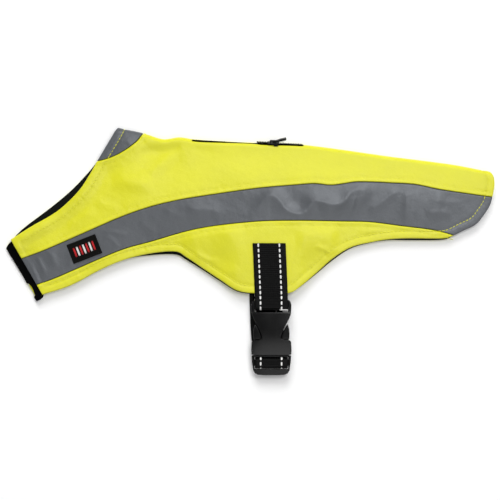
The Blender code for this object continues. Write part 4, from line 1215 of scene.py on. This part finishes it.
TOOTH_PITCH = 1.25
TOOTH_BASE = 0.15
TOOTH_LEAN = 0.16
SLIDER_CLEAR = 4.4           # no teeth this near the slider's middle
LEAST_LIPS = 0.7             # nor where the lips stand closer
TEETH_IN = (1.2, 1.0)        # the coil's ends, in from those of the lips
ROW_APART = 0.75             # distance of each open row from the zip's line
# Half length, height and radius of a turn of the coil: under the closed lips, where the
# rows meet left of the slider, and kept low right of it, where the pull swings down.
CLOSED_TOOTH = (0.65, 0.2, 0.24)
HIGH_TOOTH = (0.6, 0.9, 0.5)
LOW_TOOTH = (0.6, 0.35, 0.35)


def make_teeth():
    """The zip's coil: closed left of the slider, its two rows apart right of it."""
    tubes = []
    start, end = ZIP_LIPS[0][0] + TEETH_IN[0], ZIP_LIPS[-1][0] - TEETH_IN[1]
    for x in np.arange(start, end, TOOTH_PITCH):
        if read_table(ZIP_LIPS, x) < LEAST_LIPS or abs(x - SLIDER_X) < SLIDER_CLEAR:
            continue
        if x < 0.0:
            tubes.append(tooth(x, 0.0, *CLOSED_TOOTH))
        else:
            sizes = LOW_TOOTH if x > SLIDER_X else HIGH_TOOTH
            tubes += [tooth(x + shift, side, *sizes)
                      for side, shift in ((-ROW_APART, 0.0), (ROW_APART, 0.5 * TOOTH_PITCH))]
    return add_tubes("zip_coil", tubes, "coil_nylon")


def tooth(x, middle, half, height, radius):
    """One turn of the coil, standing over the zip's line at x."""
    share = np.linspace(-1.0, 1.0, 7)
    across = middle + half * share
    flat = np.stack([x + TOOTH_LEAN * across, read_table(ZIP_LINE, x) + across], axis=1)
    depth = -TOOTH_BASE - height * np.sqrt(1.0 - 0.97 * share ** 2) + near_depth(flat)
    return laid_tube(flat, depth, radius)


# ---------------------------------------------------------------- straps

TURN_SLACK = 1.4             # the near strap's turn fills the socket's slot
LADDER_SLACK = 0.6           # the far strap's turn fills the ladder's window
TURN_Y = BAR_Y - BAR_HALF[0] + BAR_HALF[1] - TURN_SLACK  # middle of the near strap's turn
# Routes of the straps, seen from the side: y where a strap lies level, y and height where
# it climbs to its bar and comes back, and y of its tail.
NEAR_LEVEL_Y = (STRAP_END_Y, -2.0, -10.0, -18.0, -26.0, -32.0)
FAR_LEVEL_Y = (STRAP_END_Y, -5.0, -18.0, -32.0, -45.0, -58.0, -70.0, -78.0, -82.5)
FAR_UP = ((-84.6, STRAP_HALF + 0.15), (-86.8, 1.7), (-88.0, 3.2))
FAR_DOWN = ((-81.0, 4.1), (-80.3, 3.0), (-79.0, 2.48))
FAR_TAIL_Y = (-77.0, -68.0, -59.0, -51.0)


def bend(centre_y, radius, start, end, steps):
    """A strap's way round a bar at the buckle's middle height, between two angles."""
    turns = np.radians(np.linspace(start, end, steps + 1))
    return [(centre_y + radius * math.cos(t), BUCKLE_MID + radius * math.sin(t)) for t in turns]


def near_route():
    on_cloth = FLAT_TOP + STRAP_LIFT + GAP + STRAP_HALF
    radius = BAR_HALF[1] + GAP + STRAP_HALF
    top = BUCKLE_MID + radius
    route = [(y, on_cloth + strap_rise(y)) for y in NEAR_LEVEL_Y]
    route += [(-34.5, on_cloth + 0.3), (-37.0, top - 0.1), (-38.8, top)]
    route += bend(TURN_Y, radius, 90, 270, 12)
    return route + [(-37.5, BUCKLE_MID - radius), (-34.2, BUCKLE_MID - radius)]


def far_route():
    tail = STRAP_THICKNESS + GAP + STRAP_HALF
    radius = LADDER_BAR_HALF[1] + GAP + STRAP_HALF
    reach = LADDER_BAR_HALF[0] - LADDER_BAR_HALF[1]
    outer, inner = LADDER_BAR_Y - reach - LADDER_SLACK, LADDER_BAR_Y + reach
    route = [(y, STRAP_HALF) for y in FAR_LEVEL_Y] + [*FAR_UP, (outer - radius, 5.2)]
    route += bend(outer, radius, 180, 90, 8) + bend(inner, radius, 90, 0, 8)
    route += [(inner + radius, 5.4), *FAR_DOWN]
    return route + [(y, tail) for y in FAR_TAIL_Y]


RIB = 1.6                    # pitch of the webbing's ribs
RIB_DEPTH = 0.42
RIB_SHARE = 0.62             # the ribs are full between the two rows of dashes
RIB_END = 0.97               # no ribs past this share of the half width
WEB_ACROSS = 26
WEB_EDGE = (0.94, 0.06, 0.25)  # where the edge begins to round, its run, what it ends at
WEB_LINE = (0.84, 0.25, 0.02)  # a groove along each edge: place, depth, width


def strap_frame(route):
    """The route at fine even steps, its outward direction, and the distance along it."""
    fine = even_steps(route, RIB / 6)
    smooth = fine.copy()
    for _ in range(3):
        smooth[1:-1] = (smooth[:-2] + 2 * smooth[1:-1] + smooth[2:]) / 4
    way = unit(np.gradient(smooth, axis=0))
    return fine, np.stack([-way[:, 1], way[:, 0]], axis=1), arc_lengths(fine)


def make_webbing(name, line, route):
    fine, out, along = strap_frame(route)
    middle = read_table(line, np.maximum(fine[:, 0], line[-1][0]))
    share = np.linspace(-1.0, 1.0, WEB_ACROSS + 1)
    start, run, least = WEB_EDGE
    past = np.clip((np.abs(share) - start) / run, 0.0, 1.0)
    edge = least + (1.0 - least) * np.sqrt(np.clip(1.0 - past ** 2, 0.0, 1.0))
    lines = 1.0 - hump(np.abs(share) - WEB_LINE[0], *WEB_LINE[1:])
    full = 1.0 - 0.7 * smooth_step((np.abs(share) - RIB_SHARE) / 0.1)
    ribs = RIB_DEPTH * 0.5 * (1.0 + np.sin(along[:, None] * 2 * math.pi / RIB
                                           + 0.9 * (np.arange(WEB_ACROSS + 1) % 2)[None]))
    ribs = ribs * full[None]
    points = []
    for face in (-1, 1):
        half = (STRAP_HALF * edge * lines)[None] - ribs * (np.abs(share) < RIB_END)[None]
        x = middle[:, None] + share[None] * STRAP_WIDTH / 2
        y = fine[:, 0][:, None] + face * half * out[:, 0][:, None]
        z = fine[:, 1][:, None] + face * half * out[:, 1][:, None]
        points.append(np.stack([x, y, z], axis=2).reshape(-1, 3))
    rows, cols = len(fine), WEB_ACROSS + 1
    size = rows * cols
    index = np.arange(size).reshape(rows, cols)
    a, b = index[:-1, :-1].ravel(), index[:-1, 1:].ravel()
    c, d = index[1:, 1:].ravel(), index[1:, :-1].ravel()
    faces = np.vstack([np.stack([a, b, c, d], 1), np.stack([d, c, b, a], 1) + size]).tolist()
    ring = np.concatenate([index[0, :-1], index[:-1, -1], index[-1, :0:-1], index[:0:-1, 0]])
    for i, k in zip(ring, np.roll(ring, -1)):
        faces.append((int(k), int(i), int(i) + size, int(k) + size))
    made = add_object(name, np.vstack(points) * MM, faces, "webbing", smooth_angle=60.0)
    place = np.stack([np.tile(share * STRAP_WIDTH / 2, rows), np.repeat(along, cols),
                      np.zeros(size)], axis=1)
    store(made, "cloth_place", "FLOAT_VECTOR", np.tile(place, (2, 1)) * MM)
    return made


# Rows of dashes: their places as shares of the half width, start, stop, and face.
NEAR_DASHES = ((-0.665, 0.615), 0.2, 52.0, -1)
FAR_DASHES = (((-0.65, 0.62), 38.0, 130.0, 1), ((-0.65, 0.62), 38.0, 88.0, -1))
WHITE_BAR = (22.4, 28.9, 136.0)  # left and right end, and its turn round the bar in degrees
DASH_PITCH = 4.0
DASH_LENGTH = 2.7
DASH_WIDTH = 1.2


def strap_dashes(route, line, shares, start, stop, face):
    """Flat reflective threads that show between the ribs, along a strap's route."""
    fine, out, along = strap_frame(route)
    tubes = []
    for share in shares:
        at = start
        while at + DASH_LENGTH < stop:
            s = np.linspace(at, at + DASH_LENGTH, 6)
            y, z = np.interp(s, along, fine[:, 0]), np.interp(s, along, fine[:, 1])
            oy, oz = np.interp(s, along, out[:, 0]), np.interp(s, along, out[:, 1])
            x = read_table(line, np.maximum(y, line[-1][0])) + share * STRAP_WIDTH / 2
            up = face * (STRAP_HALF - 0.03)
            rows = np.stack([x, y + up * oy, z + up * oz], axis=1)
            ups = np.stack([np.zeros(6), face * oy, face * oz], axis=1)
            tubes.append(tube(rows, ups, DASH_WIDTH / 2, 8, 0.22))
            at += DASH_PITCH
    return tubes


def strap_bar(left, right, turn):
    """A short white bar across the near strap where it turns round the socket's bar."""
    reach = BAR_HALF[1] + GAP + STRAP_THICKNESS + 0.2
    turn = math.radians(turn)
    out = np.array([0.0, math.cos(turn), math.sin(turn)])
    middle = np.array([0.0, TURN_Y, BUCKLE_MID]) + reach * out
    line = middle + np.linspace(left, right, 9)[:, None] * np.array([1.0, 0.0, 0.0])
    return tube(line, np.tile(out, (9, 1)), 0.6, 8, 0.5)


def make_straps():
    near, far = near_route(), far_route()
    made = (make_webbing("near_webbing", NEAR_STRAP_LINE, near),
            make_webbing("far_webbing", FAR_STRAP_LINE, far))
    tubes = strap_dashes(near, NEAR_STRAP_LINE, *NEAR_DASHES)
    tubes.append(strap_bar(*WHITE_BAR))
    add_tubes("near_dashes", tubes, "white_thread")
    tubes = []
    for rows in FAR_DASHES:
        tubes += strap_dashes(far, FAR_STRAP_LINE, *rows)
    add_tubes("far_dashes", tubes, "white_thread")
    return made


# ---------------------------------------------------------------- hard pieces

CAST_SHARP = math.radians(30.0)  # edges bent more than this are rounded
CAST_FLAT = math.radians(1.0)    # and faces bent less than this are joined


def cast(node, name, width, body="vest", slim=1.0):
    """A copy of a cast CAD node with its edges rounded, and made slimmer across the zip."""
    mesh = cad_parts[node].data.copy()
    mesh.name = name
    across, pivot = np.array(PULL_AXIS), np.array(PULL_PIVOT) * MM
    for vertex in mesh.vertices:
        off = (np.array(vertex.co) - pivot) @ across
        vertex.co -= Vector(across * off * (1.0 - slim))
    shape = bmesh.new()
    shape.from_mesh(mesh)
    bmesh.ops.remove_doubles(shape, verts=shape.verts, dist=1e-6)
    bmesh.ops.dissolve_limit(shape, angle_limit=CAST_FLAT, verts=shape.verts,
                             edges=shape.edges)
    sharp = [e for e in shape.edges if len(e.link_faces) == 2
             and e.calc_face_angle(0.0) > CAST_SHARP]
    bmesh.ops.bevel(shape, geom=sharp, offset=width * MM, offset_type="OFFSET",
                    segments=3, profile=0.6, affect="EDGES", clamp_overlap=True)
    bmesh.ops.triangulate(shape, faces=[f for f in shape.faces if len(f.verts) > 4])
    shape.to_mesh(mesh)
    shape.free()
    made = mesh_piece(name, mesh, "metal", 35.0, body)
    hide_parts(node)
    return made


VOXEL = 0.26                 # grid of the softened buckle
MOUTH_Y = (-57.0, -79.0)     # along this the buckle thins toward its mouth
FOOT_Y = (-86.0, -94.5)      # the ladder's end slopes down along this
TOP_Y = (-58.0, 16.0)        # and it is a little lower from here up, with this run
SOCKET_HALF = 15.0
# Shares of its half thickness that the buckle loses at its sides, mouth, top and foot.
CROWN = (0.16, 0.62, 0.08, 0.36)


def crown(points):
    """Share of its half thickness that the moulded buckle loses at each point."""
    side = np.abs(points[:, 0] - BUCKLE_X) / SOCKET_HALF
    mouth = np.clip((points[:, 1] - MOUTH_Y[0]) / (MOUTH_Y[1] - MOUTH_Y[0]), 0.0, 1.0) ** 2
    top = smooth_step((points[:, 1] - TOP_Y[0]) / TOP_Y[1])
    foot = np.clip((FOOT_Y[0] - points[:, 1]) / (FOOT_Y[0] - FOOT_Y[1]), 0.0, 1.0)
    sides = np.clip(side, 0.0, 1.0) ** 3
    return CROWN[0] * sides + CROWN[1] * mouth + CROWN[2] * top + CROWN[3] * foot


def moulded(node, name):
    """A copy of a moulded CAD node with its edges softened and its faces crowned."""
    source = link(name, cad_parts[node].data.copy())
    soften = source.modifiers.new("soften", "REMESH")
    soften.mode = "VOXEL"
    soften.voxel_size = VOXEL * MM
    level = source.modifiers.new("level", "SMOOTH")
    level.factor = 0.5
    level.iterations = 3
    graph = bpy.context.evaluated_depsgraph_get()
    mesh = bpy.data.meshes.new_from_object(source.evaluated_get(graph))
    bpy.data.objects.remove(source)
    points = np.empty(len(mesh.vertices) * 3)
    mesh.vertices.foreach_get("co", points)
    points = points.reshape(-1, 3) / MM
    above = points[:, 2] - BUCKLE_MID
    points[:, 2] = BUCKLE_MID + above * (1.0 - crown(points))
    mesh.vertices.foreach_set("co", (points * MM).ravel())
    made = mesh_piece(name, mesh, "plastic", 0.0)
    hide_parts(node)
    return made


# ---------------------------------------------------------------- putting it together

def dress(piece, slot, *nodes):
    if nodes:
        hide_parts(*nodes)
    return piece


back = dress(make_back_panel(), "yellow_cloth", "back_panel")
collar = dress(make_collar(), "reflective_cloth", "collar_patch")
near_band = dress(make_band(1, "near_band_cloth"), "reflective_cloth", "near_band")
far_band = dress(make_band(-1, "far_band_cloth"), "reflective_cloth", "far_band")
near_flank = dress(make_flank(1, "near_flank_cloth"), "yellow_cloth", "near_flank")
far_flank = dress(make_flank(-1, "far_flank_cloth"), "yellow_cloth", "far_flank")
lining = dress(make_lining(), "lining_cloth", "lining")
closure_cloth, closure_pile = make_closure()
dress(closure_cloth, "yellow_cloth", "closure_tab")
dress(closure_pile, "loop_tape", "closure_loop")
label = dress(make_label(), "label_cloth", "label")
dress(make_zip_strip(), "zip_tape", "zip_strip")
dress(make_teeth(), "zip_tape")
make_stitches()
make_label_details()
near_webbing, far_webbing = make_straps()
dress(near_webbing, "webbing", "near_strap")
dress(far_webbing, "webbing", "far_strap")
dress(moulded("buckle_socket", "buckle_socket_moulded"), "buckle_plastic")
dress(moulded("buckle_prongs", "buckle_prongs_moulded"), "buckle_plastic")
dress(cast("zip_slider", "zip_slider_cast", 0.12), "slider_metal")
dress(cast("zip_pull", "zip_pull_cast", 0.15, "pull", 0.62), "slider_metal")


# ---------------------------------------------------------------- stage

def make_floor():
    mesh = bpy.data.meshes.new("floor")
    side = 3.0
    mesh.from_pydata([(-side, -side, 0), (side, -side, 0), (side, side, 0), (-side, side, 0)],
                     [], [(0, 1, 2, 3)])
    floor = link("floor", mesh)
    floor.location.z = -0.0002
    paper = Nodes("floor_paper", 0.9, Specular_IOR_Level=0.1)
    paper.shader.inputs["Base Color"].default_value = (0.95, 0.95, 0.95, 1.0)
    paper.shader.inputs["Emission Color"].default_value = (1.0, 1.0, 1.0, 1.0)
    paper.shader.inputs["Emission Strength"].default_value = 0.05
    mesh.materials.append(paper.material)


def add_light(name, kind, toward, energy, glossy=True, **settings):
    """A soft light; toward points from the object to the light."""
    light = bpy.data.lights.new(name, kind)
    light.energy = energy
    for key, value in settings.items():
        setattr(light, key, value)
    holder = link(name, light)
    holder.visible_glossy = glossy
    holder.rotation_euler = Vector(toward).to_track_quat("Z", "Y").to_euler()
    return holder


SCALE = 0.76                 # millimetres a pixel at the cloth's height
FRAME_PIXELS = 500
SENSOR = 36.0
CAMERA_HEIGHT = 1.4
CLOTH_HEIGHT = 0.005
CAMERA_Y = 1.026             # the photo's middle row lies this far along y
# Strength of the room's light from the sides and from overhead, and the heights between.
ROOM_LIGHT = {"From Min": 0.86, "From Max": 0.97, "To Min": 0.30, "To Max": 0.06}
SUN_SPREAD = math.radians(36.0)
SOFTBOX_PLACE = (0.38, 0.47, 1.4)


def make_world():
    """A pale room, darker straight overhead where the camera hangs."""
    world = bpy.data.worlds.new("studio")
    world.use_nodes = True
    tree = world.node_tree
    background = tree.nodes["Background"]
    background.inputs["Color"].default_value = (1.0, 1.0, 1.0, 1.0)
    place = tree.nodes.new("ShaderNodeTexCoord")
    parts = tree.nodes.new("ShaderNodeSeparateXYZ")
    level = tree.nodes.new("ShaderNodeMapRange")
    for socket, value in ROOM_LIGHT.items():
        level.inputs[socket].default_value = value
    tree.links.new(place.outputs["Generated"], parts.inputs[0])
    tree.links.new(parts.outputs["Z"], level.inputs["Value"])
    tree.links.new(level.outputs["Result"], background.inputs["Strength"])
    return world


make_floor()
add_light("key", "SUN", (-0.06, 0.81, 0.57), 2.1, False, angle=SUN_SPREAD)
add_light("fill", "SUN", (0.1, -0.52, 0.85), 0.42, angle=SUN_SPREAD)
add_light("softbox", "AREA", SOFTBOX_PLACE, 8.5, size=0.5).location = SOFTBOX_PLACE

scene = bpy.context.scene
scene.world = make_world()
scene.view_settings.view_transform = "Standard"

camera_data = bpy.data.cameras.new("camera")
camera_data.sensor_width = SENSOR
camera_data.lens = SENSOR * (CAMERA_HEIGHT - CLOTH_HEIGHT) / (FRAME_PIXELS * SCALE * MM)
camera = link("camera", camera_data)
camera.location = (CENTRE_SHIFT[0] * MM, (CAMERA_Y + CENTRE_SHIFT[1]) * MM, CAMERA_HEIGHT)
scene.camera = camera
